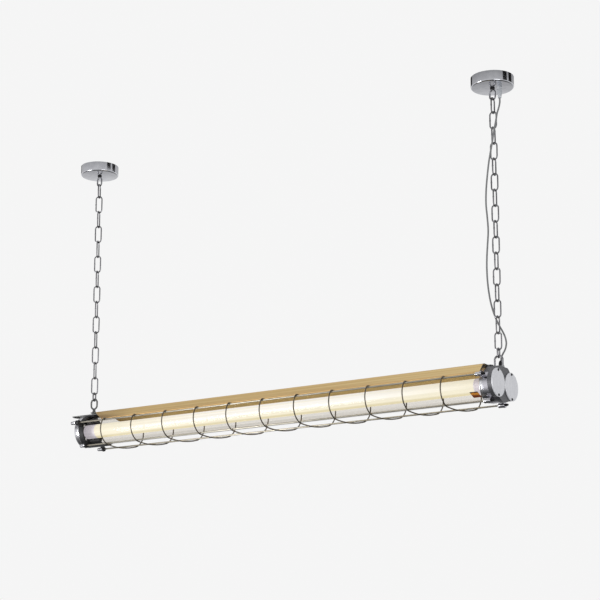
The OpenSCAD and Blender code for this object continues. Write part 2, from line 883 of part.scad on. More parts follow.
module cap_nuts_left() {
    color("gainsboro") on_axis() for (i = [0 : 3]) {
        place = rod_place(rod_angles[i]);
        translate([lugs_left[i], place[0], place[1]]) mirror([1, 0, 0])
            cap_nut(cap_nut_length, cap_nut_r, cap_nut_length - nut_cap + 1);
    }
}

module cap_nuts_right() {
    color("black") on_axis() for (i = [0 : 3]) {
        place = rod_place(rod_angles[i]);
        translate([lugs_right[i] + right_lug_length, place[0], place[1]])
            cap_nut(dark_nut_length, dark_nut_r, dark_nut_length - dark_nut_cap + 0.5);
    }
}

// One half of a guard wire, from its hook on the front rod to the middle below the tube
function half_wire(x0) =
    let(high = rod_place(front_high), low = rod_place(front_low),
        turn_end = 260, start_y = low[0] + wrap_r * cos(turn_end),
        start_z = low[1] + wrap_r * sin(turn_end))
    concat(
        [for (i = [0 : 5]) let(a = front_high * i / 5)
            [x0 + hook_shift * (1 - i / 5), high[0] + wrap_r * cos(a), high[1] + wrap_r * sin(a)]],
        [for (i = [1 : 6]) let(a = front_high + (front_low - front_high) * i / 6)
            let(r = wire_r + wire_bulge * sin(180 * i / 6))
            [x0, r * cos(a), r * sin(a)]],
        [let(a = (front_low + turn_end) / 2)
            [x0 + 0.3, low[0] + wrap_r * cos(a), low[1] + wrap_r * sin(a)]],
        [for (i = [0 : 4]) let(t = i / 4)
            [x0 + wire_advance / 2 * (0.04 + 0.96 * t), start_y * (1 - t),
                start_z - wire_bow * (1 - (1 - t) * (1 - t))]]);

// The whole wire is the half and its half turn about the vertical through its middle
function whole_wire(x0) =
    let(half = half_wire(x0), n = len(half))
    concat(half, [for (i = [n - 2 : -1 : 0])
        [2 * x0 + wire_advance - half[i][0], -half[i][1], half[i][2]]]);

module guard_wires() {
    color("darkgray") on_axis() for (i = [0 : wire_count - 1]) {
        path = whole_wire(wire_first + i * wire_pitch);
        tube(path, 0, len(path) - 1, wire_d, wire_sides, [1, 0, 0]);
    }
}

// Round cover with two screw holes, on the front or the rear drum
module cover(y) {
    on_axis() difference() {
        x_rod(box_right + cover_gasket_t, cover_face, cover_d / 2, y, -cover_low, $fn = 96);
        for (z = [-cover_screw_circle, cover_screw_circle])
            x_rod(box_right, cover_face + 1, (screw_d + hole_gap) / 2, y, z - cover_low);
    }
}

module cover_front() {
    color("lightgray") cover(-cover_y);
}

module cover_rear() {
    color("lightgray") cover(cover_y);
}

module cover_gaskets() {
    color("black") on_axis() for (y = [-cover_y, cover_y]) difference() {
        x_rod(box_right, box_right + cover_gasket_t, drum_r, y, -cover_low);
        x_rod(box_right - 1, box_right + 2, drum_cavity_r, y, -cover_low);
        for (z = [-cover_screw_circle, cover_screw_circle])
            x_rod(box_right - 1, box_right + 2, (screw_d + hole_gap) / 2, y, z - cover_low);
    }
}

module cover_screws() {
    color("black") on_axis() for (y = [-cover_y, cover_y])
        for (z = [-cover_screw_circle, cover_screw_circle])
            translate([cover_face, y, z - cover_low]) rotate([0, 90, 0])
                pan_screw(cover_t + cover_gasket_t + box_depth - floor_t - 1);
}

// Cord gland: a hexagon with a thread below and a neck above
module gland_body() {
    color("dimgray") on_axis() translate([right, gland_y, 0]) difference() {
        union() {
            translate([0, 0, bow_seat - 5]) cylinder(h = 6, d = gland_thread);
            translate([0, 0, bow_seat]) cylinder(h = gland_hex, d = gland_w, $fn = 6);
            translate([0, 0, bow_seat + gland_hex - 1]) cylinder(h = 5, d = gland_thread - 2);
        }
        translate([0, 0, bow_seat - 6]) cylinder(h = 16, d = cord_d + hole_gap);
    }
}

module gland_cap() {
    low = bow_seat + gland_hex;
    color("black") on_axis() translate([right, gland_y, 0]) difference() {
        rotate_extrude() polygon([[0, low], [gland_w / 2 - 0.7, low],
            [gland_w / 2 - 0.7, gland_high - 5], [cord_d / 2 + 1.8, gland_high], [0, gland_high]]);
        translate([0, 0, low - 1]) cylinder(h = 20, d = cord_d + hole_gap);
        translate([0, 0, low - 1]) cylinder(h = 5 + slide_gap, d = gland_thread - 2 + 2 * thread_gap);
    }
}

// Terminal block in the rear drum
module terminal_block() {
    floor_right = collar_right + floor_t;
    color("ivory") on_axis() difference() {
        translate([floor_right, cover_y - 7, -14]) cube([6, 15, 22]);
        for (z = [-9, -2, 5]) x_rod(floor_right + 3, floor_right + 7, 1.6, cover_y, z);
    }
}

// Cord inside the gland and the wire on to the right lampholder
module inner_leads() {
    block_y = cover_y - 7;
    wire_x = collar_right + floor_t + 3;
    supply = smooth([[right, gland_y, gland_high - seat_gap], [right, gland_y, gland_high - 12],
        [right, gland_y, bow_seat - 6], [right - 1, gland_y + 4, 22], [right - 1, 20, 12],
        [right - 1, 22, 3], [right + 1, 22, -2], [wire_x - 2, 22, -4],
        [wire_x, block_y - 2.5, -5], [wire_x, block_y - slide_gap, -5]], 1);
    feed = smooth([[wire_x, block_y - slide_gap, 5], [wire_x, block_y - 3, 5],
        [wire_x, block_y - 6, 4], [wire_x, holder_r + 3.2, 1.6], [wire_x, holder_r + 1.8, 1],
        [wire_x, holder_r + slide_gap, 1]], 1);
    color("gray") on_axis() {
        tube(supply, 0, len(supply) - 1, lead_d + 1.4, cord_sides, [0.3, 1, 0.1]);
        tube(feed, 0, len(feed) - 1, lead_d, cord_sides, [1, 0, 0]);
    }
}

// Round lampholder with a ring groove in which the contact pins turn
module lampholder(x0, face) {
    pin_circle = pin_spacing / 2;
    depth = pin_length + hole_gap;
    groove_left = face > 0 ? x0 + holder_length - depth + seat_gap : x0 - 1;
    on_axis() difference() {
        x_rod(x0, x0 + holder_length, holder_r);
        difference() {
            x_rod(groove_left, groove_left + depth + 1 - seat_gap,
                pin_circle + pin_d / 2 + groove_gap);
            x_rod(groove_left - 1, groove_left + depth + 2,
                pin_circle - pin_d / 2 - groove_gap);
        }
    }
}

module lampholder_left() {
    color("white") lampholder(light_left - seat_gap - holder_length, 1);
}

module lampholder_right() {
    color("white") lampholder(light_right + seat_gap, -1);
}

// Plain strip of film on the lower front of the glass
module plain_label() {
    color("peru") on_axis() translate([label_left, 0, 0]) rotate([0, 90, 0])
        rotate([0, 0, label_start + 90]) rotate_extrude(angle = label_sweep)
            translate([glass_r + film_gap, 0]) square([label_t, label_length]);
}

// Diffuser of the light tube
module light_tube() {
    color("lemonchiffon") on_axis() difference() {
        x_rod(light_left + light_cap_left, light_right - light_cap_right, light_d / 2);
        x_rod(light_left, light_right, light_d / 2 - light_wall);
    }
}

// Board with the light sources, on the flat of its heat sink
module led_strip() {
    board_t = 1.6;
    sink_t = 4;
    color("white") on_axis()
        translate([light_left + light_cap_left, -led_w / 2, -board_t / 2])
            cube([light_right - light_cap_right - light_left - light_cap_left, led_w,
                board_t + sink_t]);
}

module tube_cap_left() {
    color("lightgray") on_axis()
        x_rod(light_left, light_left + light_cap_left, light_d / 2);
}

module tube_cap_right() {
    color("lightgray") on_axis()
        x_rod(light_right - light_cap_right, light_right, light_d / 2);
}

module contact_pins() {
    color("gold") on_axis() for (y = [-pin_spacing / 2, pin_spacing / 2]) {
        x_rod(light_left - pin_length, light_left, pin_d / 2, y);
        x_rod(light_right, light_right + pin_length, pin_d / 2, y);
    }
}

ceiling_brackets();
bracket_posts();
rose_left();
rose_right();
eye_bolt_left();
eye_bolt_right();
eye_nuts();
cord_grip();
cord_grip_nut();
ceiling_terminal();
ceiling_lead();
top_link_left();
top_link_right();
chain_left();
chain_right();
quick_link_left();
quick_link_right();
cord_top();
cord_middle();
cord_lower();
eye_nut_left();
lifting_bow();
bow_nuts();
top_rail();
rail_screws();
reflector();
reflector_screws();
glass_tube();
glass_gaskets();
end_cup();
end_flange();
clamp_ring();
junction_box();
tie_rods();
rod_spacers();
cap_nuts_left();
cap_nuts_right();
guard_wires();
cover_front();
cover_rear();
cover_gaskets();
cover_screws();
gland_body();
gland_cap();
terminal_block();
inner_leads();
lampholder_left();
lampholder_right();
plain_label();
light_tube();
led_strip();
tube_cap_left();
tube_cap_right();
contact_pins();
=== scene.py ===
"""Looks of a linear chandelier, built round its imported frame.

Lengths in the classes are in millimetres and angles in degrees, as a maker's drawing gives them.
Each piece is drawn in millimetres and turned into metres when it is finished. Pieces of the lamp
are drawn about the lamp's own axis and lowered to it.
"""
import logging
import math
from dataclasses import dataclass
from enum import Enum
from functools import cache
from typing import Iterable, Sequence

import bmesh
import bpy
from mathutils import Matrix, Vector


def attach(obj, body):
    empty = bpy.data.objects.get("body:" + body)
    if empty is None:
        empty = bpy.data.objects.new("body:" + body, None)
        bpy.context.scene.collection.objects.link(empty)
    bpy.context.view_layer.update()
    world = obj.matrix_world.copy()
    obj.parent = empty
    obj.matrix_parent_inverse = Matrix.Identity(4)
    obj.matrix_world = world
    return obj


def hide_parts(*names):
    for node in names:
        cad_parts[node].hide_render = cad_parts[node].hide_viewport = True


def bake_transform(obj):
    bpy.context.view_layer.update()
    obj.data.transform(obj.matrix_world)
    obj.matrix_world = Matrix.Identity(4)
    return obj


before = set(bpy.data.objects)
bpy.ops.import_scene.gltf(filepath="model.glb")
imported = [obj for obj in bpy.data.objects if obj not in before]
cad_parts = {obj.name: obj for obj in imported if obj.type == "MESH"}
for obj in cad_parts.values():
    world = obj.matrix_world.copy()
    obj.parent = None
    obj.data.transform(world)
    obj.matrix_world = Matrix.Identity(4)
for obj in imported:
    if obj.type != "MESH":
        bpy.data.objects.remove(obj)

LOG = logging.getLogger("chandelier")
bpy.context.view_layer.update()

Colour = tuple[float, float, float]
Point = Sequence[float]
Socket = bpy.types.NodeSocket

MM = 0.001
SPAN = 1180.0
DROP = 725.0
LEFT = -SPAN / 2
RIGHT = SPAN / 2
SHARP = math.radians(32)


class Axis(Enum):
    """The direction that a turned or a straight piece runs along."""

    X = (1.0, 0.0, 0.0)
    Z = (0.0, 0.0, 1.0)

    @property
    def along(self) -> Vector:
        """The unit vector of the direction."""
        return Vector(self.value)

    @property
    def outward(self) -> Vector:
        """A unit vector square to the direction, on which radii are drawn."""
        return Vector((0, 0, 1)) if self is not Axis.Z else Vector((1, 0, 0))

    @property
    def turn(self) -> Matrix:
        """The rotation that takes Z to the direction."""
        return Vector((0, 0, 1)).rotation_difference(self.along).to_matrix().to_4x4()


def tone(code: str) -> Colour:
    """Turns a colour as a screen shows it into the shader's linear one.

    Args:
        code: Six hexadecimal digits.

    Returns:
        Linear red, green and blue.
    """
    parts = [int(code[i:i + 2], 16) / 255 for i in (0, 2, 4)]
    return tuple(c / 12.92 if c <= 0.04045 else ((c + 0.055) / 1.055) ** 2.4 for c in parts)


# Finishes


class Nodes:
    """A node tree, with short calls that add nodes and join them."""

    def __init__(self, tree: bpy.types.NodeTree, output: str) -> None:
        """Empties a tree and gives it an output.

        Args:
            tree: The tree.
            output: Blender's name of the output node's type.
        """
        self.tree = tree
        self.tree.nodes.clear()
        self.output = self.node(output)

    def node(self, kind: str, values: dict | None = None, **settings) -> bpy.types.Node:
        """Adds a node.

        Args:
            kind: Blender's name of the node's type.
            values: Numbers, colours and sockets for its inputs, by name or place.
            **settings: Properties of the node itself.

        Returns:
            The new node.
        """
        node = self.tree.nodes.new(kind)
        for key, value in settings.items():
            setattr(node, key, value)
        for key, value in (values or {}).items():
            target = node.inputs[key]
            if isinstance(value, Socket):
                self.link(value, target)
            else:
                target.default_value = (*value, 1.0) if target.type == "RGBA" else value
        return node

    def link(self, source: Socket, target: Socket) -> None:
        """Joins an output socket to an input socket."""
        self.tree.links.new(source, target)

    def parts(self, place: Socket) -> tuple[Socket, Socket, Socket]:
        """Splits a place or a direction into its X, Y and Z sockets."""
        separate = self.node("ShaderNodeSeparateXYZ", {0: place})
        return tuple(separate.outputs[axis] for axis in "XYZ")

    def spread(self, value: Socket, low: float, high: float, out_low: float = 0.0,
               out_high: float = 1.0) -> Socket:
        """Maps one range of a value to another, clamped.

        Args:
            value: The socket to map.
            low: Start of its range.
            high: End of its range.
            out_low: What the start becomes.
            out_high: What the end becomes.

        Returns:
            The socket of the mapped value.
        """
        return self.node("ShaderNodeMapRange", {
            "Value": value, "From Min": low, "From Max": high, "To Min": out_low,
            "To Max": out_high}).outputs["Result"]

    def maths(self, operation: str, *values: Socket | float) -> Socket:
        """One step of arithmetic.

        Args:
            operation: Blender's name of the operation.
            *values: Its sockets and numbers, in order.

        Returns:
            The socket of the result.
        """
        return self.node("ShaderNodeMath", dict(enumerate(values)), operation=operation).outputs[0]

    def blend(self, a: Socket, b: Socket, share: float) -> Socket:
        """Adds two values, the first by its share and the second by the rest."""
        return self.maths("ADD", self.maths("MULTIPLY", a, share),
                          self.maths("MULTIPLY", b, 1 - share))

    def most(self, first: Socket, *others: Socket) -> Socket:
        """Joins sockets into the largest of their values."""
        for other in others:
            first = self.maths("MAXIMUM", first, other)
        return first

    def within(self, value: Socket, low: float, high: float) -> Socket:
        """Gives 1 where a value lies between two numbers, and 0 elsewhere."""
        return self.maths("MULTIPLY", self.maths("GREATER_THAN", value, low),
                          self.maths("LESS_THAN", value, high))

    def mix(self, factor: Socket, a: Colour | Socket, b: Colour | Socket) -> Socket:
        """Mixes two colours.

        Args:
            factor: Socket from 0, all a, to 1, all b.
            a: First colour or socket.
            b: Second colour or socket.

        Returns:
            The socket of the mixed colour.
        """
        return self.node("ShaderNodeMix", {0: factor, 6: a, 7: b}, data_type="RGBA").outputs[2]


class Graph(Nodes):
    """A material's nodes."""

    def __init__(self, name: str) -> None:
        """Starts an empty material.

        Args:
            name: The material's name.
        """
        self.material = bpy.data.materials.new(name)
        self.material.use_nodes = True
        super().__init__(self.material.node_tree, "ShaderNodeOutputMaterial")

    def place(self, scale: Point = (1, 1, 1), turn: Point = (0, 0, 0)) -> Socket:
        """Object coordinates, stretched and turned.

        Args:
            scale: Scale along each axis, in repeats a metre.
            turn: Rotation about each axis, in degrees.

        Returns:
            The socket that gives the place.
        """
        return self.node("ShaderNodeMapping", {
            "Vector": self.node("ShaderNodeTexCoord").outputs["Object"], "Scale": scale,
            "Rotation": [math.radians(a) for a in turn]}).outputs["Vector"]

    def noise(self, scale: Point, detail: float, roughness: float = 0.55,
              turn: Point = (0, 0, 0)) -> Socket:
        """Noise between 0 and 1 on object coordinates.

        Args:
            scale: Scale along each axis, in repeats a metre.
            detail: How many finer layers it has.
            roughness: How strong those are.
            turn: Rotation of the pattern about each axis, in degrees.

        Returns:
            The socket of the noise's value.
        """
        return self.node("ShaderNodeTexNoise", {
            "Vector": self.place(scale, turn), "Scale": 1.0, "Detail": detail,
            "Roughness": roughness}).outputs["Fac"]

    def bump(self, height: Socket, strength: float, distance: float) -> Socket:
        """Raises the surface by a height.

        Args:
            height: Socket of the height, 0 to 1.
            strength: How much of it shows.
            distance: Height of 1, in metres.

        Returns:
            The socket of the normal.
        """
        return self.node("ShaderNodeBump", {
            "Height": height, "Strength": strength, "Distance": distance}).outputs["Normal"]

    def surface(self, values: dict, kind: str = "ShaderNodeBsdfPrincipled") -> bpy.types.Material:
        """Adds the last shader and joins it to the output.

        Args:
            values: Numbers, colours and sockets for its inputs, by name or place.
            kind: Blender's name of the shader's type.

        Returns:
            The finished material.
        """
        self.link(self.node(kind, values).outputs[0], self.output.inputs["Surface"])
        return self.material


@dataclass(frozen=True)
class Metal:
    """A metal with a grain and an uneven gloss.

    Attributes:
        name: The material's name.
        bright: Colour of the clean metal.
        dull: Colour in the grain's hollows.
        roughness: Mean roughness.
        uneven: How much the roughness varies.
        grain: Scale of the grain along each axis, in repeats a metre.
        relief: Height of the grain, in metres.
        metallic: 1 for bare metal and less under paint or oxide.
        painted_glow: Share of its own colour that it gives off as painted light, standing in for
            the light of a lit tube beside it.
    """

    name: str
    bright: Colour
    dull: Colour
    roughness: float = 0.3
    uneven: float = 0.1
    grain: tuple[float, float, float] = (300.0, 300.0, 300.0)
    relief: float = 0.00002
    metallic: float = 1.0
    painted_glow: float = 0.0

    @cache
    def material(self) -> bpy.types.Material:
        """Builds the material once."""
        graph = Graph(self.name)
        grain = graph.noise(self.grain, 4.0)
        cloud = graph.noise((14, 14, 14), 2.0)
        both = graph.blend(grain, cloud, 0.65)
        colour = graph.mix(graph.spread(both, 0.35, 0.62), self.dull, self.bright)
        values = {
            "Base Color": colour, "Metallic": self.metallic,
            "Roughness": graph.spread(both, 0.3, 0.7, self.roughness + self.uneven,
                                      self.roughness - self.uneven / 2),
            "Normal": graph.bump(grain, 0.6, self.relief), "Emission Strength": self.painted_glow}
        # Painted light: the piece glows in its own colour, standing in for the lit tube's light on
        # it.
        if self.painted_glow:
            values["Emission Color"] = colour
        return graph.surface(values)


@dataclass(frozen=True)
class BrassSheet:
    """Brushed brass with lengthwise streaks, browner towards the left end.

    Attributes:
        name: The material's name.
        bright: Colour of a bright streak.
        dull: Colour of a dull streak.
        brown: Colour of the tarnish at the left end.
        painted_tube_light: Colour of the streaks near the lower folded edges, painted light of the
            lit tube.
        painted_end_shade: Colour of the right end edge, a painted shade.
        painted_glow: Share of its own colour that the rear wing gives off as painted light of the
            lit tube.
        stained: Places along the lamp between which the tarnish sets in, in metres.
        folded: Heights between which the painted tube light sets in, in metres.
        cut: Places along the lamp where the painted end shade begins, in metres.
        rear: Places across the lamp between which the painted glow sets in, in metres.
    """

    name: str
    bright: Colour
    dull: Colour
    brown: Colour
    painted_tube_light: Colour
    painted_end_shade: Colour
    painted_glow: float = 0.20
    stained: tuple[float, float] = (-0.42, -0.56)
    folded: tuple[float, float] = (-0.6975, -0.7030)
    cut: tuple[float, float] = (0.5640, 0.5652)
    rear: tuple[float, float] = (0.026, 0.031)

    @cache
    def material(self) -> bpy.types.Material:
        """Builds the material once."""
        graph = Graph(self.name)
        broad = graph.noise((0.8, 60, 60), 2.0)
        fine = graph.noise((3.0, 420, 420), 3.0)
        both = graph.blend(broad, fine, 0.7)
        streaks = graph.mix(graph.spread(both, 0.36, 0.62), self.dull, self.bright)
        x, y, z = graph.parts(graph.place())
        stain = graph.spread(x, *self.stained, 0.0, 0.95)
        patch = graph.noise((5, 40, 40), 2.0)
        # Painted light: warm streaks on the lower edges stand in for the lit tube's light on them.
        painted_tube_light = graph.maths("MULTIPLY", graph.spread(z, *self.folded),
                            graph.spread(broad, 0.35, 0.6, 0.1, 0.65))
        streaks = graph.mix(painted_tube_light, streaks, self.painted_tube_light)
        colour = graph.mix(graph.maths("MULTIPLY", stain, graph.spread(patch, 0.25, 0.6)),
                           streaks, self.brown)
        # Painted shade: the right end edge of the sheet turns near black.
        colour = graph.mix(graph.spread(x, *self.cut), colour, self.painted_end_shade)
        # Painted light: the rear wing glows in its own colour, standing in for the lit tube's light
        # on it.
        return graph.surface({
            "Base Color": colour, "Metallic": 0.55, "Anisotropic": 0.4,
            "Roughness": graph.spread(both, 0.3, 0.7, 0.46, 0.32),
            "Normal": graph.bump(fine, 0.5, 0.00003), "Emission Color": colour,
            "Emission Strength": graph.spread(y, *self.rear, 0.0, self.painted_glow)})


@dataclass(frozen=True)
class BoxCasting:
    """Painted casting with a bare, satin collar, whose upper side takes the paint colour as a
    painted shade.

    Attributes:
        name: The material's name.
        paint: Colour of the painted part.
        shade: Its colour in the pits.
        collar: Colour of the collar's bare metal.
        collar_end: Where the collar ends along the lamp, in metres.
        bare_below_shade_above: Heights between which the collar's bare metal below gives way to the
            paint colour above, a painted shade on the collar's upper side, in metres.
    """

    name: str
    paint: Colour
    shade: Colour
    collar: Colour
    collar_end: float = 0.5915
    bare_below_shade_above: tuple[float, float] = (-0.7010, -0.7040)

    @cache
    def material(self) -> bpy.types.Material:
        """Builds the material once."""
        graph = Graph(self.name)
        pits = graph.noise((900, 900, 900), 3.0)
        cloud = graph.noise((30, 30, 30), 2.0)
        painted = graph.mix(graph.spread(pits, 0.35, 0.62), self.shade, self.paint)
        x, _, z = graph.parts(graph.place())
        # Painted shade: the collar shows bare metal only low down; above it, it takes the darker
        # paint colour.
        bare = graph.maths("MULTIPLY", graph.spread(z, *self.bare_below_shade_above),
                           graph.spread(x, self.collar_end + 0.0004, self.collar_end))
        return graph.surface({
            "Base Color": graph.mix(bare, painted, self.collar),
            "Metallic": graph.spread(bare, 0.0, 1.0, 0.75, 1.0),
            "Roughness": graph.maths("ADD", graph.spread(bare, 0.0, 1.0, 0.45, 0.2),
                                     graph.spread(cloud, 0.3, 0.7, 0.03, -0.03)),
            "Normal": graph.bump(pits, 0.4, 0.00004)})


@dataclass(frozen=True)
class BrushedDisc:
    """Aluminium plate brushed in straight lines across its face.

    Attributes:
        name: The material's name.
        bright: Colour between the lines.
        dull: Colour of the lines.
        slant: Angle of the lines on the face, in degrees.
    """

    name: str
    bright: Colour
    dull: Colour
    slant: float = 35.0

    @cache
    def material(self) -> bpy.types.Material:
        """Builds the material once."""
        graph = Graph(self.name)
        lines = graph.noise((600, 700, 25), 3.0, 0.7, (self.slant, 0, 0))
        cloud = graph.noise((30, 30, 30), 2.0)
        return graph.surface({
            "Base Color": graph.mix(graph.spread(lines, 0.3, 0.65), self.dull, self.bright),
            "Metallic": 0.4, "Roughness": graph.spread(cloud, 0.3, 0.7, 0.48, 0.34),
            "Normal": graph.bump(lines, 0.5, 0.00003)})


@dataclass(frozen=True)
class Plastic:
    """Moulded plastic, rubber or film, with a faint skin texture.

    Attributes:
        name: The material's name.
        base: Its colour.
        shade: Its colour in the clouds of the moulding.
        roughness: Mean roughness.
        clear: How much light passes through.
        skin: Scale of the skin texture, in repeats a metre.
    """

    name: str
    base: Colour
    shade: Colour
    roughness: float = 0.45
    clear: float = 0.0
    skin: float = 900.0

    @cache
    def material(self) -> bpy.types.Material:
        """Builds the material once."""
        graph = Graph(self.name)
        cloud = graph.noise((60, 60, 60), 3.0)
        skin = graph.noise((self.skin,) * 3, 2.0)
        return graph.surface({
            "Base Color": graph.mix(graph.spread(cloud, 0.35, 0.65), self.shade, self.base),
            "Roughness": graph.spread(cloud, 0.3, 0.7, self.roughness + 0.06,
                                      self.roughness - 0.06),
            "Normal": graph.bump(skin, 0.4, 0.00002), "Transmission Weight": self.clear,
            "Specular IOR Level": 0.4})


@dataclass(frozen=True)
class LabelFilm:
    """Plain film in three bare tones, one above the other, with no print.

    Attributes:
        name: The material's name.
        dark: Tone of the upper edge.
        warm: Tone of the middle.
        brown: Tone of the lower part.
        lower: Heights between which the lower part turns into the middle, in metres.
        upper: Heights between which the middle turns into the upper edge, in metres.
    """

    name: str
    dark: Colour
    warm: Colour
    brown: Colour
    lower: tuple[float, float] = (-0.7478, -0.7452)
    upper: tuple[float, float] = (-0.7432, -0.7420)

    @cache
    def material(self) -> bpy.types.Material:
        """Builds the material once."""
        graph = Graph(self.name)
        _, _, z = graph.parts(graph.place())
        wave = graph.maths("MULTIPLY", graph.noise((90, 90, 90), 3.0), 0.006)
        height = graph.maths("ADD", z, wave)
        lower = graph.mix(graph.spread(height, *self.lower), self.brown, self.warm)
        return graph.surface({
            "Base Color": graph.mix(graph.spread(height, *self.upper), lower, self.dark),
            "Roughness": graph.spread(wave, 0.002, 0.004, 0.3, 0.42), "Coat Weight": 0.4})


@dataclass(frozen=True)
class ClearGlass:
    """Clear tube glass with faint drawing streaks and darker edges.

    Attributes:
        name: The material's name.
        clear: Tint of one wall where one looks straight through.
        streak: Tint of a drawing streak.
        edge: Tint at the edges.
        gloss: How strongly it mirrors, at most.
    """

    name: str
    clear: Colour
    streak: Colour
    edge: Colour
    gloss: float = 0.5

    @cache
    def material(self) -> bpy.types.Material:
        """Builds the material once."""
        graph = Graph(self.name)
        streak = graph.noise((0.9, 150, 150), 2.0)
        facing = graph.node("ShaderNodeLayerWeight", {"Blend": 0.35})
        rim = graph.maths("POWER", facing.outputs["Facing"], 3.6)
        body = graph.mix(graph.spread(streak, 0.38, 0.62), self.clear, self.streak)
        through = graph.node("ShaderNodeBsdfTransparent", {
            "Color": graph.mix(rim, body, self.edge)})
        mirror = graph.node("ShaderNodeBsdfGlossy", {
            "Color": (0.98, 0.96, 0.94), "Roughness": graph.spread(streak, 0.3, 0.7, 0.04, 0.10),
            "Normal": graph.bump(streak, 0.05, 0.0001)})
        fresnel = graph.node("ShaderNodeFresnel", {"IOR": 1.47})
        # Light isn't bent here, so a face seen from inside the wall would mirror too much.
        side = graph.node("ShaderNodeNewGeometry").outputs["Backfacing"]
        share = graph.maths("MULTIPLY", fresnel.outputs[0],
                            graph.spread(side, 0.0, 1.0, self.gloss, 0.0))
        return graph.surface({0: share, 1: through.outputs[0], 2: mirror.outputs[0]},
                             "ShaderNodeMixShader")


@dataclass(frozen=True)
class LitDiffuser:
    """Frosted diffuser that is lit from inside, white in the middle and cream below.

    Attributes:
        name: The material's name.
        hot: Light of the brightest part.
        warm: Light of the cream part and of the fine lines.
        gold: Light of the lowest edge.
        power: Strength of the light.
        ends: Distances from the middle between which the brightness sets in, in metres.
        middle: Heights between which the brightest part sets in, in metres.
        lowest: Heights between which the lowest edge sets in, in metres.
    """

    name: str
    hot: Colour
    warm: Colour
    gold: Colour
    power: float = 1.0
    ends: tuple[float, float] = (0.56, 0.25)
    middle: tuple[float, float] = (-0.7345, -0.7290)
    lowest: tuple[float, float] = (-0.7385, -0.7415)

    @cache
    def material(self) -> bpy.types.Material:
        """Builds the material once."""
        graph = Graph(self.name)
        x, _, z = graph.parts(graph.place())
        lines = graph.noise((0.8, 220, 220), 2.0)
        reach = graph.spread(graph.maths("ABSOLUTE", x), *self.ends)
        heart = graph.maths("MULTIPLY", graph.spread(z, *self.middle), reach)
        share = graph.maths("MULTIPLY", heart, graph.spread(lines, 0.38, 0.50, 0.4, 1.0))
        body = graph.mix(share, self.warm, self.hot)
        return graph.surface({
            "Base Color": (0.25, 0.24, 0.2), "Roughness": 0.5, "Emission Strength": self.power,
            "Emission Color": graph.mix(graph.spread(z, *self.lowest), body, self.gold)})


@dataclass(frozen=True)
class BraidedTextile:
    """Round cord braided from two sets of yarns, on the piece's own UV map.

    Attributes:
        name: The material's name.
        light: Tone on top of a yarn.
        dark: Tone between the yarns.
        yarns: Yarns round the cord in each direction.
        pitch: Turns that a yarn makes in a metre.
    """

    name: str
    light: Colour
    dark: Colour
    yarns: int = 8
    pitch: float = 62.0

    @cache
    def material(self) -> bpy.types.Material:
        """Builds the material once."""
        graph = Graph(self.name)
        uv = graph.node("ShaderNodeUVMap", uv_map="UVMap")
        around, along, _ = graph.parts(uv.outputs[0])
        turn = 2 * math.pi * self.yarns
        climb = graph.maths("MULTIPLY", along, turn * self.pitch)
        sweep = graph.maths("MULTIPLY", around, turn)
        one = graph.maths("SINE", graph.maths("ADD", sweep, climb))
        two = graph.maths("SINE", graph.maths("SUBTRACT", sweep, climb))
        yarn = graph.spread(graph.maths("MULTIPLY", one, two), -1.0, 1.0)
        fuzz = graph.noise((2500, 2500, 2500), 2.0)
        height = graph.blend(yarn, fuzz, 0.8)
        return graph.surface({
            "Base Color": graph.mix(height, self.dark, self.light), "Roughness": 0.85,
            "Normal": graph.bump(height, 0.8, 0.0003), "Sheen Weight": 0.3,
            "Specular IOR Level": 0.2})


Finish = (Metal | BrassSheet | BoxCasting | BrushedDisc | Plastic | LabelFilm | ClearGlass
          | LitDiffuser | BraidedTextile)


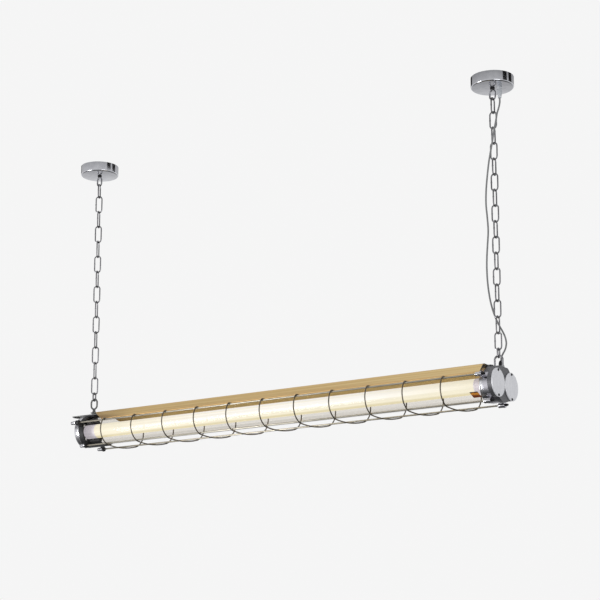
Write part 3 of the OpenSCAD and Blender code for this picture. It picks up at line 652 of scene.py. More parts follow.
class Finishes:
    """Every finish of the chandelier."""

    rose_chrome = Metal("rose_chrome", tone("DADBE0"), tone("C8C9CF"), 0.10, 0.04, (90, 90, 90))
    chrome = Metal("chrome_plate", tone("E2E2E6"), tone("CDCDD2"), 0.1, 0.05, (90, 90, 90))
    chain_steel = Metal("chain_steel", tone("A0A0A3"), tone("6A6A6E"), 0.24, 0.1, (700, 700, 700))
    zinc = Metal("zinc", tone("C0C2C4"), tone("9A9DA0"), 0.42, 0.12, (120, 120, 120))
    dark_steel = Metal("dark_steel", tone("8C8D89"), tone("55555A"), 0.38, 0.12,
                       (40, 600, 600), metallic=0.8)
    casting = BoxCasting("box_casting", tone("7D7D80"), tone("5A5A5E"), tone("C3C2C9"))
    flange = Metal("dark_casting", tone("3E3E40"), tone("1F1F21"), 0.5, 0.1, (900, 900, 900),
                   0.00006, 0.5)
    black = Metal("black_metal", tone("2A2A2B"), tone("141415"), 0.4, 0.1, (500, 500, 500),
                  metallic=0.6)
    rod_steel = Metal("rod_steel", tone("CFC9BA"), tone("A39D8F"), 0.3, 0.1, (12, 900, 900))
    guard_steel = Metal("guard_steel", tone("877F73"), tone("494237"), 0.36, 0.12,
                        (260, 260, 260))
    brass = BrassSheet("reflector_brass", tone("F4DA9C"), tone("D8B273"), tone("75542F"),
                       tone("DDA456"), tone("1C1812"))
    pin_brass = Metal("pin_brass", tone("D8BE78"), tone("A88A4A"), 0.25, 0.08)
    cover = BrushedDisc("cover_aluminium", tone("F0F0F3"), tone("D9D9DD"))
    # The caps glow with painted light, standing in for the lit tube's light inside the cup and the
    # box.
    cap = Metal("cap_lavender", tone("DEDAE2"), tone("D0CBD6"), 0.45, 0.08, (200, 200, 200),
                metallic=0.1, painted_glow=0.6)
    sink = Metal("heat_sink", tone("DADAD6"), tone("BDBDBA"), 0.4, 0.1, (10, 400, 400))
    nylon = Plastic("clear_nylon", tone("E3E5E8"), tone("CDD0D4"), 0.35, 0.25)
    black_plastic = Plastic("black_plastic", tone("1E1E20"), tone("141416"), 0.5)
    ivory = Plastic("terminal_plastic", tone("E2DCC4"), tone("D0C9AE"), 0.4)
    white = Plastic("white_plastic", tone("E4E4E0"), tone("D2D2CE"), 0.45)
    rubber = Plastic("black_rubber", tone("232324"), tone("161617"), 0.7)
    film = LabelFilm("label_film", tone("24160C"), tone("CC8424"), tone("6E300C"))
    glass = ClearGlass("clear_glass", (0.97, 0.96, 0.945), (0.92, 0.91, 0.89),
                       (0.60, 0.60, 0.62), 0.40)
    lit = LitDiffuser("light_diffuser", (1.0, 1.0, 1.0), tone("F6F0DA"), tone("E6DBB4"), 0.95)
    textile = BraidedTextile("cord_textile", tone("A6A6A6"), tone("5E5E5E"))


# Shapes


def bisectors(points: Sequence[Vector], closed: bool) -> list[Vector]:
    """The direction of a line at each of its points.

    Args:
        points: The line's points.
        closed: Whether it runs back to its start.

    Returns:
        One unit vector for each point.
    """
    count = len(points)
    found = []
    for i in range(count):
        if closed:
            ahead, behind = points[(i + 1) % count], points[i - 1]
        else:
            ahead, behind = points[min(i + 1, count - 1)], points[max(i - 1, 0)]
        found.append((ahead - behind).normalized())
    return found


def extend(drawn: bmesh.types.BMesh, edges: Sequence[bmesh.types.BMEdge]
           ) -> tuple[list[bmesh.types.BMVert], list[bmesh.types.BMEdge]]:
    """Extrudes edges in place.

    Args:
        drawn: The mesh that they belong to.
        edges: The edges.

    Returns:
        The new vertices, still at the old ones' places, and the new edges between them.
    """
    made = bmesh.ops.extrude_edge_only(drawn, edges=edges)["geom"]
    verts = [g for g in made if isinstance(g, bmesh.types.BMVert)]
    inside = set(verts)
    return verts, [g for g in made if isinstance(g, bmesh.types.BMEdge) and set(g.verts) <= inside]


class Shape:
    """One piece's mesh, drawn in millimetres."""

    def __init__(self) -> None:
        """Starts with nothing drawn."""
        self.mesh = bmesh.new()

    def add(self, drawn: bmesh.types.BMesh, soften: float, matrix: Matrix | None = None) -> "Shape":
        """Finishes a drawn part's edges and adds it to the piece.

        Args:
            drawn: The part.
            soften: Radius of its sharp edges, or 0.
            matrix: Where it goes.

        Returns:
            The piece.
        """
        bmesh.ops.remove_doubles(drawn, verts=drawn.verts[:], dist=1e-4)
        bmesh.ops.recalc_face_normals(drawn, faces=drawn.faces[:])
        if soften:
            sharp = [e for e in drawn.edges if len(e.link_faces) == 2
                     and e.calc_face_angle(0.0) > SHARP]
            bmesh.ops.bevel(drawn, geom=sharp, offset=soften, segments=2, profile=0.5,
                            affect="EDGES", material=-1, clamp_overlap=True)
        if matrix is not None:
            bmesh.ops.transform(drawn, matrix=matrix, verts=drawn.verts[:])
        carrier = bpy.data.meshes.new("carrier")
        drawn.to_mesh(carrier)
        drawn.free()
        self.mesh.from_mesh(carrier)
        bpy.data.meshes.remove(carrier)
        return self

    def lathe(self, profile: Sequence[Point], centre: Point = (0, 0, 0), axis: Axis = Axis.X,
              steps: int = 64, soften: float = 0.0, closed: bool = False) -> "Shape":
        """Spins an outline about an axis.

        Args:
            profile: Places along the axis, each with a radius.
            centre: Where the axis passes.
            axis: The axis's direction.
            steps: Facets in a turn.
            soften: Radius of sharp edges.
            closed: Whether the outline runs back to its start.

        Returns:
            The piece.
        """
        drawn = bmesh.new()
        verts = [drawn.verts.new(axis.along * a + axis.outward * r) for a, r in profile]
        pairs = list(zip(verts, verts[1:])) + ([(verts[-1], verts[0])] if closed else [])
        for pair in pairs:
            drawn.edges.new(pair)
        bmesh.ops.spin(drawn, geom=drawn.verts[:] + drawn.edges[:], cent=(0, 0, 0),
                       axis=axis.along, angle=math.tau, steps=steps, use_merge=True)
        return self.add(drawn, soften, Matrix.Translation(centre))

    def sweep(self, path: Iterable[Point], radius: float, sides: int = 10,
              closed: bool = False, swell: dict[int, float] | None = None) -> "Shape":
        """Draws a round bar along a path, with a UV map of turns and metres.

        Args:
            path: The points that its centre follows.
            radius: Its radius.
            sides: Sides of its section.
            closed: Whether the path runs back to its start.
            swell: Points at which the radius is larger or smaller, with the factor.

        Returns:
            The piece.
        """
        points = [Vector(p) for p in path]
        ways = bisectors(points, closed)
        if closed:
            points.append(points[0])
            ways.append(ways[0])
        drawn = bmesh.new()
        around = drawn.verts.layers.float.new("around")
        along = drawn.verts.layers.float.new("along")
        uv = drawn.loops.layers.uv.new("UVMap")
        start = Vector((0, 0, 1)).rotation_difference(ways[0]).to_matrix().to_4x4()
        ring = bmesh.ops.create_circle(drawn, segments=sides, radius=radius,
                                       matrix=Matrix.Translation(points[0]) @ start)["verts"]
        for place, vert in enumerate(ring):
            vert[around] = place
        edges = list(drawn.edges)
        run, size = 0.0, (swell or {}).get(0, 1.0)
        for i in range(1, len(points)):
            ring, edges = extend(drawn, edges)
            turn = ways[i - 1].rotation_difference(ways[i]).to_matrix()
            bmesh.ops.rotate(drawn, verts=ring, cent=points[i - 1], matrix=turn)
            bmesh.ops.translate(drawn, verts=ring, vec=points[i] - points[i - 1])
            run += (points[i] - points[i - 1]).length
            for vert in ring:
                vert[along] = run
            new = (swell or {}).get(i % (len(points) - 1 if closed else len(points)), 1.0)
            if new != size:
                bmesh.ops.scale(drawn, verts=ring, vec=(new / size,) * 3,
                                space=Matrix.Translation(-points[i]))
                size = new
        for face in drawn.faces:
            places = [loop.vert[around] for loop in face.loops]
            wraps = max(places) - min(places) > sides / 2
            for loop, place in zip(face.loops, places):
                turned = (place + sides if wraps and place < sides / 2 else place) / sides
                loop[uv].uv = (turned, loop.vert[along] * MM)
        if not closed:
            bmesh.ops.holes_fill(drawn, edges=[e for e in drawn.edges if e.is_boundary], sides=0)
        return self.add(drawn, 0.0)

    def block(self, low: Point, high: Point, soften: float = 0.0) -> "Shape":
        """Draws a block between two corners.

        Args:
            low: Its lowest corner.
            high: Its highest corner.
            soften: Radius of its edges.

        Returns:
            The piece.
        """
        drawn = bmesh.new()
        middle = (Vector(low) + Vector(high)) / 2
        size = Vector(high) - Vector(low)
        bmesh.ops.create_cube(drawn, size=1.0,
                              matrix=Matrix.Translation(middle) @ Matrix.Diagonal((*size, 1)))
        return self.add(drawn, soften)

    def hexagon(self, across: float, length: float, centre: Point, axis: Axis,
                soften: float = 0.3, turn: float = 0.0) -> "Shape":
        """Draws a hexagonal nut or head, starting at its centre point.

        Args:
            across: Distance across its corners.
            length: Its length along the axis, negative for the other way.
            centre: Where it starts.
            axis: Its axis.
            soften: Radius of its edges.
            turn: Its angle about its axis.

        Returns:
            The piece.
        """
        drawn = bmesh.new()
        bmesh.ops.create_cone(drawn, cap_ends=True, segments=6, radius1=across / 2,
                              radius2=across / 2, depth=abs(length),
                              matrix=Matrix.Rotation(math.radians(turn), 4, "Z")
                              @ Matrix.Translation((0, 0, length / 2)))
        return self.add(drawn, soften, Matrix.Translation(centre) @ axis.turn)

    def finish(self, name: str, finish: Finish, body: str, replaces: Iterable[str],
               lamp: bool = False) -> bpy.types.Object:
        """Makes the piece's object.

        Args:
            name: The piece's name.
            finish: Its finish, whose name the material takes.
            body: The body that it rides on, or empty for none.
            replaces: The frame's nodes that it stands for.
            lamp: Whether it was drawn about the lamp's axis.

        Returns:
            The new object.
        """
        if lamp:
            bmesh.ops.translate(self.mesh, verts=self.mesh.verts[:], vec=(0, 0, -DROP))
        bmesh.ops.scale(self.mesh, verts=self.mesh.verts[:], vec=(MM, MM, MM))
        for face in self.mesh.faces:
            face.smooth = True
        for edge in self.mesh.edges:
            edge.smooth = len(edge.link_faces) != 2 or edge.calc_face_angle(0.0) < SHARP
        mesh = bpy.data.meshes.new(name)
        self.mesh.to_mesh(mesh)
        self.mesh.free()
        piece = bpy.data.objects.new(name, mesh)
        bpy.context.scene.collection.objects.link(piece)
        mesh.materials.append(finish.material())
        if body:
            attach(piece, body)
        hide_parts(*replaces)
        LOG.info("%s: %d faces", name, len(mesh.polygons))
        return piece


def oval(length: float, width: float, wire: float, centre: Point, turn: float,
         bends: int = 10) -> list[Vector]:
    """The centre line of an upright oval ring.

    Args:
        length: Its outer height.
        width: Its outer width.
        wire: Diameter of its wire.
        centre: Its middle.
        turn: Its angle about the vertical, from facing the viewer.
        bends: Steps in each half turn.

    Returns:
        The points of the line, once round.
    """
    bend, straight = (width - wire) / 2, (length - width) / 2
    line = []
    for sign, start in ((1, 0.0), (-1, math.pi)):
        for i in range(bends + 1):
            angle = start + math.pi * i / bends
            line.append(Vector((bend * math.cos(angle), 0,
                                bend * math.sin(angle) + sign * straight)))
        line.append(Vector((-sign * bend, 0, 0)))
    around = Matrix.Rotation(math.radians(turn), 3, "Z")
    return [around @ p + Vector(centre) for p in line]


def smooth_line(points: Sequence[Point], steps: int) -> list[Vector]:
    """A smooth curve through points.

    Args:
        points: The points.
        steps: Steps from each to the next.

    Returns:
        The curve's points.
    """
    p = [Vector(q) for q in points]
    line = []
    for i in range(len(p) - 1):
        a, b, c, d = p[max(i - 1, 0)], p[i], p[i + 1], p[min(i + 2, len(p) - 1)]
        for k in range(steps):
            t = k / steps
            line.append(0.5 * (2 * b + (c - a) * t + (2 * a - 5 * b + 4 * c - d) * t * t
                               + (3 * b - a - 3 * c + d) * t ** 3))
    return line + [p[-1]]


# Sub-assemblies


@dataclass
class CeilingSide:
    """The two roses with their eyes, nuts and the cord grip."""

    rose_r: float = 50.0
    rose_h: float = 25.0
    wall: float = 1.2
    edge: float = 3.0
    eye_wire: float = 4.0
    eye_length: float = 27.0
    eye_width: float = 18.0
    grip_x: float = RIGHT + 18
    grip_low: float = -53.0

    def rose(self, name: str, x: float) -> None:
        """Spins one rose, with a rolled lower edge.

        Args:
            name: The piece's name.
            x: Its place along the lamp.
        """
        r, h, e, w = self.rose_r, self.rose_h, self.edge, self.wall
        bend = [(-h + e - e * math.cos(a), r - e + e * math.sin(a))
                for a in (math.radians(11.25 * i) for i in range(9))]
        inner = [(-h + e - (e - w) * math.cos(a), r - e + (e - w) * math.sin(a))
                 for a in (math.radians(90 - 22.5 * i) for i in range(5))]
        profile = [(-h, 2.8), *bend, (0, r), (0, r - w), *inner, (-h + w, 2.8)]
        shape = Shape().lathe(profile, (x, 0, 0), Axis.Z, 128, closed=True)
        shape.finish(name + "_cup", Finishes.rose_chrome, "ceiling", [name])

    def eye(self, name: str, x: float) -> None:
        """Sweeps one ceiling eye with its threaded stud.

        Args:
            name: The piece's name.
            x: Its place along the lamp.
        """
        middle = -self.rose_h - 3 - self.eye_length / 2
        shape = Shape().sweep(oval(self.eye_length, self.eye_width, self.eye_wire,
                                   (x, 0, middle), 0), self.eye_wire / 2, 12, True)
        top = -self.rose_h - 3 - self.eye_wire / 2
        thread = [(top, 0.01), (top, 2.4)]
        for i in range(22):
            z = top + 0.4 + i
            thread += [(z, 2.1), (z + 0.5, 2.5)]
        thread += [(-8.4, 2.1), (-8.4, 0.01)]
        shape.lathe(thread, (x, 0, 0), Axis.Z, 20)
        shape.finish(name + "_threaded", Finishes.chain_steel, "ceiling", [name])

    def nuts(self) -> None:
        """Draws the two black nuts under the roses."""
        shape = Shape()
        for x in (LEFT, RIGHT):
            shape.hexagon(11.5, -3, (x, 0, -self.rose_h), Axis.Z, 0.5)
        shape.finish("rose_nuts", Finishes.black, "ceiling", ["eye_nuts"])

    def grip(self) -> None:
        """Spins the milky cord grip with its tapered nose."""
        low, top = self.grip_low, -self.rose_h
        profile = [(-17, 2.2), (-17, 4.9), (top, 4.9), (top, 6), (top - 5, 6), (top - 5.6, 5.6),
                   (top - 8, 5.6), (top - 8.6, 6), (top - 13, 5.9), (low + 3, 4.3), (low, 3.9),
                   (low, 2.2)]
        shape = Shape().lathe(profile, (self.grip_x, 0, 0), Axis.Z, 48, 0.25, True)
        shape.finish("cord_grip_body", Finishes.nylon, "ceiling", ["cord_grip"])

    def build(self) -> None:
        """Builds every piece on the ceiling."""
        self.rose("rose_left", LEFT)
        self.rose("rose_right", RIGHT)
        self.eye("eye_bolt_left", LEFT)
        self.eye("eye_bolt_right", RIGHT)
        self.nuts()
        self.grip()


@dataclass
class Chains:
    """Both chains, from the ceiling eyes to the connecting links."""

    wire: float = 3.4
    width: float = 19.5
    top_length: float = 41.0
    top_high: float = -49.0
    quick_wire: float = 3.8
    quick_length: float = 25.0
    quick_width: float = 14.0
    pivot: float = -643.2
    gap: float = 0.3
    twist: float = 22.0
    left_count: int = 13
    right_count: int = 15

    def link(self, shape: Shape, x: float, high: float, low: float, turn: float) -> None:
        """Sweeps one welded link.

        Args:
            shape: The piece that it belongs to.
            x: Its place along the lamp.
            high: Height of its upper wire's centre.
            low: Height of its lower wire's centre.
            turn: Its angle about the vertical.
        """
        line = oval(high - low + self.wire, self.width, self.wire, (x, 0, (high + low) / 2), turn)
        shape.sweep(line, self.wire / 2, 10, True)
        # The oval's point after its first bend is the middle of a straight side.
        side = line[11]
        weld = [side + Vector((0, 0, z)) for z in (-2.2, -1.4, -0.5, 0.5, 1.4, 2.2)]
        shape.sweep(weld, self.wire / 2 + 0.12, 10, False,
                    {0: 0.93, 1: 1.0, 2: 1.06, 3: 1.06, 4: 1.0, 5: 0.93})

    def top_link(self, name: str, x: float, turn: float, body: str) -> None:
        """Makes the link that hangs in a ceiling eye."""
        shape = Shape()
        low = self.top_high - self.top_length + self.wire
        self.link(shape, x, self.top_high, low, turn)
        shape.finish(name + "_welded", Finishes.chain_steel, body, [name])

    def run(self, name: str, x: float, count: int, end: float, twist: float, body: str) -> None:
        """Makes the links below a top link.

        Args:
            name: The piece's name.
            x: The chain's place along the lamp.
            count: How many links it has.
            end: Height of the last link's lower wire.
            twist: Turn of the whole chain.
            body: The body that it rides on.
        """
        start = self.top_high - self.top_length + self.wire
        pitch = (start - end) / count
        shape = Shape()
        for i in range(count):
            high = start + self.wire + self.gap - i * pitch
            low = high - pitch - self.wire - self.gap
            self.link(shape, x, high, low, twist + 90 * (i % 2))
        shape.finish(name + "_welded", Finishes.chain_steel, body, [name])

    def quick_link(self, name: str, x: float, high: float, body: str) -> None:
        """Makes one connecting link."""
        middle = high - (self.quick_length - self.quick_wire) / 2
        shape = Shape().sweep(oval(self.quick_length, self.quick_width, self.quick_wire,
                                   (x, 0, middle), 90), self.quick_wire / 2, 12, True)
        shape.finish(name + "_welded", Finishes.chain_steel, body, [name])

    def build(self) -> None:
        """Builds both chains."""
        reach = self.quick_length - self.quick_wire
        seat = (self.wire + self.quick_wire) / 2 + self.gap
        self.top_link("top_link_left", LEFT, 90 + self.twist, "left_hanger")
        self.top_link("top_link_right", RIGHT, 90, "right_hanger")
        self.run("chain_left", LEFT, self.left_count, self.pivot + reach - seat, self.twist,
                 "left_chain")
        self.run("chain_right", RIGHT, self.right_count, self.pivot - seat, 0, "right_chain")
        self.quick_link("quick_link_left", LEFT, self.pivot + reach, "left_chain")
        self.quick_link("quick_link_right", RIGHT, self.pivot, "lamp")


@dataclass
class SupplyCord:
    """The grey textile cord beside the right chain, in three stretches."""

    diameter: float = 4.0
    steps: int = 6
    top_end: int = 3
    middle_end: int = 26
    route: tuple[tuple[float, float, float], ...] = (
        (608, 0, -53), (608, 0, -62.8), (607, -3, -75.5), (604, -7, -91.2), (602, -10, -108.8),
        (599, -12, -126.5), (596, -13, -144.1), (593, -13, -159.8), (589, -12, -175.4),
        (585, -11, -191.1), (581, -10, -208.7), (575, -7, -239.1), (570, -4, -270.4),
        (568, -2, -302.7), (570, -1, -335.1), (571, 0, -365.4), (568, 1, -398.7),
        (565, 2, -430.1), (564, 3, -461.4), (565, 5, -494.7), (568, 8, -526), (573, 11, -551.5),
        (580, 13, -573), (588, 13, -589.7), (596, 13, -604.4), (602, 12, -618.1),
        (604, 12, -631.8), (601, 12, -644.5), (595, 12, -654.3), (591, 12, -662.2),
        (590, 12, -670))

    def stretch(self, name: str, first: int, last: int) -> None:
        """Args:
            name: The stretch's name, which is also the node's.
            first: The route's point where it starts.
            last: The route's point where it ends.
        """
        whole = smooth_line(self.route, self.steps)
        line = whole[first * self.steps:last * self.steps + 1]
        shape = Shape().sweep(line, self.diameter / 2, 14)
        piece = shape.finish(name + "_textile", Finishes.textile, "", [name])
        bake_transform(piece)

    def build(self) -> None:
        """Builds the three stretches, from the ceiling down."""
        last = len(self.route) - 1
        self.stretch("cord_top", 0, self.top_end)
        self.stretch("cord_middle", self.top_end, self.middle_end)
        self.stretch("cord_lower", self.middle_end, last)


@dataclass
class ReflectorAndRail:
    """The folded brass sheet over the tube and the steel bar that carries it."""

    start: float = -560.0
    end: float = 567.0
    slant: float = 38.0
    half_top: float = 27.5
    top: float = 45.3
    edge_y: float = 48.29
    edge_z: float = 21.55
    sheet: float = 0.8
    fold: float = 2.2
    hem: float = 1.0
    rings: int = 46
    cut_height: float = 41.5
    cut_drop: float = 22.0
    cut_reach: float = 120.0
    rail_start: float = -658.0
    rail_end: float = 576.0
    rail_low: float = 42.0
    rail_thick: float = 2.5
    rail_half: float = 12.0
    screws: int = 5
    rail_screws: tuple[float, float] = (-600.0, 573.0)

    def section(self) -> list[tuple[float, float]]:
        """The sheet's outer outline in Y and Z, with round folds and curled hems."""
        fall = Vector((self.edge_y - self.half_top, self.edge_z - self.top)).normalized()
        corner = Vector((self.half_top, self.top))
        half = []
        for i in range(7):
            t = i / 6
            a = corner - Vector((self.fold, 0))
            b = corner + fall * self.fold
            half.append(a * (1 - t) ** 2 + corner * 2 * t * (1 - t) + b * t ** 2)
        edge = Vector((self.edge_y, self.edge_z))
        inward = Vector((fall.y, -fall.x))
        middle = edge + inward * self.sheet / 2
        half.append(edge - fall * self.hem)
        for i in range(8):
            angle = math.radians(-55 + 36 * i)
            half.append(middle + fall * math.cos(angle) * self.hem
                        + inward * math.sin(angle) * self.hem)
        right = [tuple(p) for p in half]
        return [(-y, z) for y, z in reversed(right)] + right

    def sheet_piece(self) -> None:
        """Draws the sheet as an extruded outline with a wall, its wings cut aslant on the left."""
        drawn = bmesh.new()
        line = [drawn.verts.new((self.start, y, z)) for y, z in self.section()]
        edges = [drawn.edges.new(pair) for pair in zip(line, line[1:])]
        step = (self.end - self.start) / self.rings
        for _ in range(self.rings):
            verts, edges = extend(drawn, edges)
            bmesh.ops.translate(drawn, verts=verts, vec=(step, 0, 0))
        for vert in drawn.verts:
            fall = min(max((self.cut_height - vert.co.z) / self.cut_drop, 0.0), 1.0)
            near = min(max(1 - (vert.co.x - self.start) / self.cut_reach, 0.0), 1.0)
            vert.co.x += self.slant * fall * near
        bmesh.ops.recalc_face_normals(drawn, faces=drawn.faces[:])
        crown = max(drawn.faces, key=lambda f: f.calc_center_median().z)
        if crown.normal.z < 0:
            bmesh.ops.reverse_faces(drawn, faces=drawn.faces[:])
        bmesh.ops.solidify(drawn, geom=drawn.faces[:], thickness=self.sheet)
        shape = Shape().add(drawn, 0.0)
        shape.finish("reflector_sheet", Finishes.brass, "lamp", ["reflector"], True)

    def rail(self) -> None:
        """Draws the flat bar with eased edges and a rounded left end."""
        shape = Shape()
        shape.block((self.rail_start + 4, -self.rail_half, self.rail_low),
                    (self.rail_end, self.rail_half, self.rail_low + self.rail_thick), 0.5)
        shape.lathe([(self.rail_low, 0.01), (self.rail_low, self.rail_half),
                     (self.rail_low + self.rail_thick, self.rail_half),
                     (self.rail_low + self.rail_thick, 0.01)],
                    (self.rail_start + self.rail_half, 0, 0), Axis.Z, 48, 0.4)
        shape.finish("carrier_rail", Finishes.dark_steel, "lamp", ["top_rail"], True)

    def pan_screws(self) -> None:
        """Draws the screws on the sheet and on the rail, with round recessed heads."""
        length = self.end - self.start
        places = [(self.start + length * (i + 0.5) / self.screws, self.top)
                  for i in range(self.screws)]
        places += [(x, self.rail_low + self.rail_thick) for x in self.rail_screws]
        shape = Shape()
        for x, z in places:
            shape.lathe([(z - 5, 0.01), (z - 5, 1.5), (z, 1.5), (z, 3), (z + 0.7, 2.9),
                         (z + 1.3, 2.1), (z + 1.6, 0.9), (z + 0.9, 0.01)], (x, 0, 0), Axis.Z, 24)
        shape.finish("top_screws", Finishes.dark_steel, "lamp",
                     ["reflector_screws", "rail_screws"], True)

    def build(self) -> None:
        """Builds the sheet, the rail and their screws."""
        self.sheet_piece()
        self.rail()
        self.pan_screws()


@dataclass
class Guard:
    """The wire guard: tie rods, hooked wires and the nuts and sleeves at the rods' ends."""

    circle: float = 55.0
    rod: float = 4.0
    wire: float = 2.5
    count: int = 11
    pitch: float = 98.7
    advance: float = 37.5
    bow: float = 6.0
    bulge: float = 7.0
    hook: float = 5.0
    gap: float = 0.3
    tail: float = 30.0
    angles: tuple[float, ...] = (162.0, 230.0, 310.0, 18.0)
    left_lugs: tuple[float, ...] = (-604.0, -586.0, -586.0, -604.0)
    right_lugs: tuple[float, ...] = (570.0, 583.0, 583.0, 570.0)
    right_lug_length: float = 4.0
    sleeve_r: tuple[float, ...] = (4.8, 6.0, 6.0, 4.8)

    def place(self, angle: float) -> tuple[float, float]:
        """The place of a rod, across and up, at its angle."""
        turn = math.radians(angle)
        return self.circle * math.cos(turn), self.circle * math.sin(turn)

    def half_wire(self, x: float) -> list[Vector]:
        """One guard wire, from its front hook to the middle under the tube.

        Args:
            x: Place of the wire's front along the lamp.

        Returns:
            The points of its centre line.
        """
        wrap = (self.rod + self.wire) / 2 + self.gap
        upper, lower = self.angles[:2]
        high, low = self.place(upper), self.place(lower)
        reach = self.circle + wrap
        line = []
        for i in range(15):
            a = math.radians(upper * i / 14)
            line.append(Vector((x + self.hook * (1 - i / 14), high[0] + wrap * math.cos(a),
                                high[1] + wrap * math.sin(a))))
        for i in range(1, 17):
            a = math.radians(upper + (lower - upper) * i / 16)
            r = reach + self.bulge * math.sin(math.pi * i / 16)
            line.append(Vector((x, r * math.cos(a), r * math.sin(a))))
        for i in range(1, 4):
            a = math.radians(lower + self.tail * i / 4)
            line.append(Vector((x + 0.2 * i, low[0] + wrap * math.cos(a),
                                low[1] + wrap * math.sin(a))))
        last = math.radians(lower + self.tail)
        y, z = low[0] + wrap * math.cos(last), low[1] + wrap * math.sin(last)
        for i in range(13):
            t = i / 12
            line.append(Vector((x + self.advance / 2 * (0.04 + 0.96 * t), y * (1 - t),
                                z - self.bow * (1 - (1 - t) ** 2))))
        return line

    def wires(self) -> None:
        """Sweeps the hooked wires, each the half wire and its half turn."""
        first = -((self.count - 1) * self.pitch + self.advance) / 2
        shape = Shape()
        for i in range(self.count):
            x = first + i * self.pitch
            half = self.half_wire(x)
            back = [Vector((2 * x + self.advance - p.x, -p.y, p.z)) for p in reversed(half[:-1])]
            line = half + back
            ends = {0: 0.82, 1: 1.0, len(line) - 2: 1.0, len(line) - 1: 0.82}
            shape.sweep(line, self.wire / 2, 10, False, ends)
        shape.finish("guard_wire_set", Finishes.guard_steel, "lamp", ["guard_wires"], True)

    def rods(self) -> None:
        """Spins the four tie rods."""
        r = self.rod / 2
        shape = Shape()
        for i, angle in enumerate(self.angles):
            start = self.left_lugs[i] - 15
            end = self.right_lugs[i] + self.right_lug_length + 4.7
            shape.lathe([(start, 0.01), (start, r), (end, r), (end, 0.01)],
                        (0, *self.place(angle)), Axis.X, 20, 0.2)
        shape.finish("tie_rod_set", Finishes.rod_steel, "lamp", ["tie_rods"], True)

    def cap_nut(self, shape: Shape, x: float, angle: float, length: float, r: float,
                way: int) -> None:
        """Adds one domed cap nut.

        Args:
            shape: The piece that it belongs to.
            x: Where its flat end is.
            angle: Its rod's angle.
            length: Its length.
            r: Half its width across the corners.
            way: 1 if the dome points to the right, and -1 to the left.
        """
        y, z = self.place(angle)
        shape.hexagon(2 * r, way * length * 0.5, (x, y, z), Axis.X, 0.5)
        ball = r * 0.8
        dome = [(x + way * length * 0.45, 0.01), (x + way * length * 0.45, ball)]
        for i in range(7):
            a = math.radians(15 * i)
            dome.append((x + way * (length - ball + ball * math.sin(a)), ball * math.cos(a)))
        dome[-1] = (dome[-1][0], 0.01)
        shape.lathe(dome, (0, y, z), Axis.X, 32)

    def ends(self) -> None:
        """Builds the cap nuts at both ends and the sleeves at the right."""
        chrome, dark, sleeves = Shape(), Shape(), Shape()
        for i, angle in enumerate(self.angles):
            seat = self.right_lugs[i]
            self.cap_nut(chrome, self.left_lugs[i], angle, 19, 5.5, -1)
            self.cap_nut(dark, seat + self.right_lug_length, angle, 7.7, 3.3, 1)
            r = self.sleeve_r[i]
            profile = [(-12.5, 2.1), (-12.5, r), (-9, r), (-8.5, r - 0.4), (-8, r), (0, r),
                       (0, 2.1)]
            sleeves.lathe(profile, (seat, *self.place(angle)), Axis.X, 32, 0.3, True)
        chrome.finish("cap_nuts_chrome", Finishes.chrome, "lamp", ["cap_nuts_left"], True)
        dark.finish("cap_nuts_dark", Finishes.black, "lamp", ["cap_nuts_right"], True)
        sleeves.finish("rod_sleeves", Finishes.chrome, "lamp", ["rod_spacers"], True)

    def build(self) -> None:
        """Builds the whole guard."""
        self.wires()
        self.rods()
        self.ends()


@dataclass
class GlassTube:
    """The clear tube and the plain strip of film on it."""

    start: float = -612.0
    end: float = 574.0
    outer: float = 37.5
    wall: float = 2.5
    film_r: float = 37.65
    film_thick: float = 0.2
    film_x: tuple[float, ...] = (534.5, 538.0, 551.0, 554.5)
    film_angle: float = 209.0
    film_span: float = 24.0
    film_lean: float = 0.51
    film_pivot: float = 24.2

    def tube(self) -> None:
        """Spins the tube with fire-polished ends, in rings along its length."""
        inner = self.outer - self.wall
        profile = [(self.start, inner), (self.start, self.outer)]
        profile += [(self.start + (self.end - self.start) * i / 8, self.outer) for i in range(1, 8)]
        profile += [(self.end, self.outer), (self.end, inner)]
        shape = Shape().lathe(profile, (0, 0, 0), Axis.X, 128, 0.6, True)
        shape.finish("glass_sleeve", Finishes.glass, "lamp", ["glass_tube"], True)

    def film(self) -> None:
        """Spins the plain film on the lower front of the glass, stuck on a little askew."""
        drawn = bmesh.new()
        start = math.radians(self.film_angle)
        y, z = self.film_r * math.cos(start), self.film_r * math.sin(start)
        verts = [drawn.verts.new((x, y, z)) for x in self.film_x]
        for pair in zip(verts, verts[1:]):
            drawn.edges.new(pair)
        bmesh.ops.spin(drawn, geom=drawn.verts[:] + drawn.edges[:], cent=(0, 0, 0),
                       axis=(1, 0, 0), angle=math.radians(self.film_span), steps=14)
        lean = Matrix.Identity(4)
        lean[0][2], lean[0][3] = -self.film_lean, -self.film_lean * self.film_pivot
        bmesh.ops.transform(drawn, matrix=lean, verts=drawn.verts[:])
        bmesh.ops.recalc_face_normals(drawn, faces=drawn.faces[:])
        bmesh.ops.solidify(drawn, geom=drawn.faces[:], thickness=self.film_thick)
        shape = Shape().add(drawn, 0.0)
        shape.finish("plain_film", Finishes.film, "lamp", ["plain_label"], True)

    def build(self) -> None:
        """Builds the tube and the film."""
        self.tube()
        self.film()


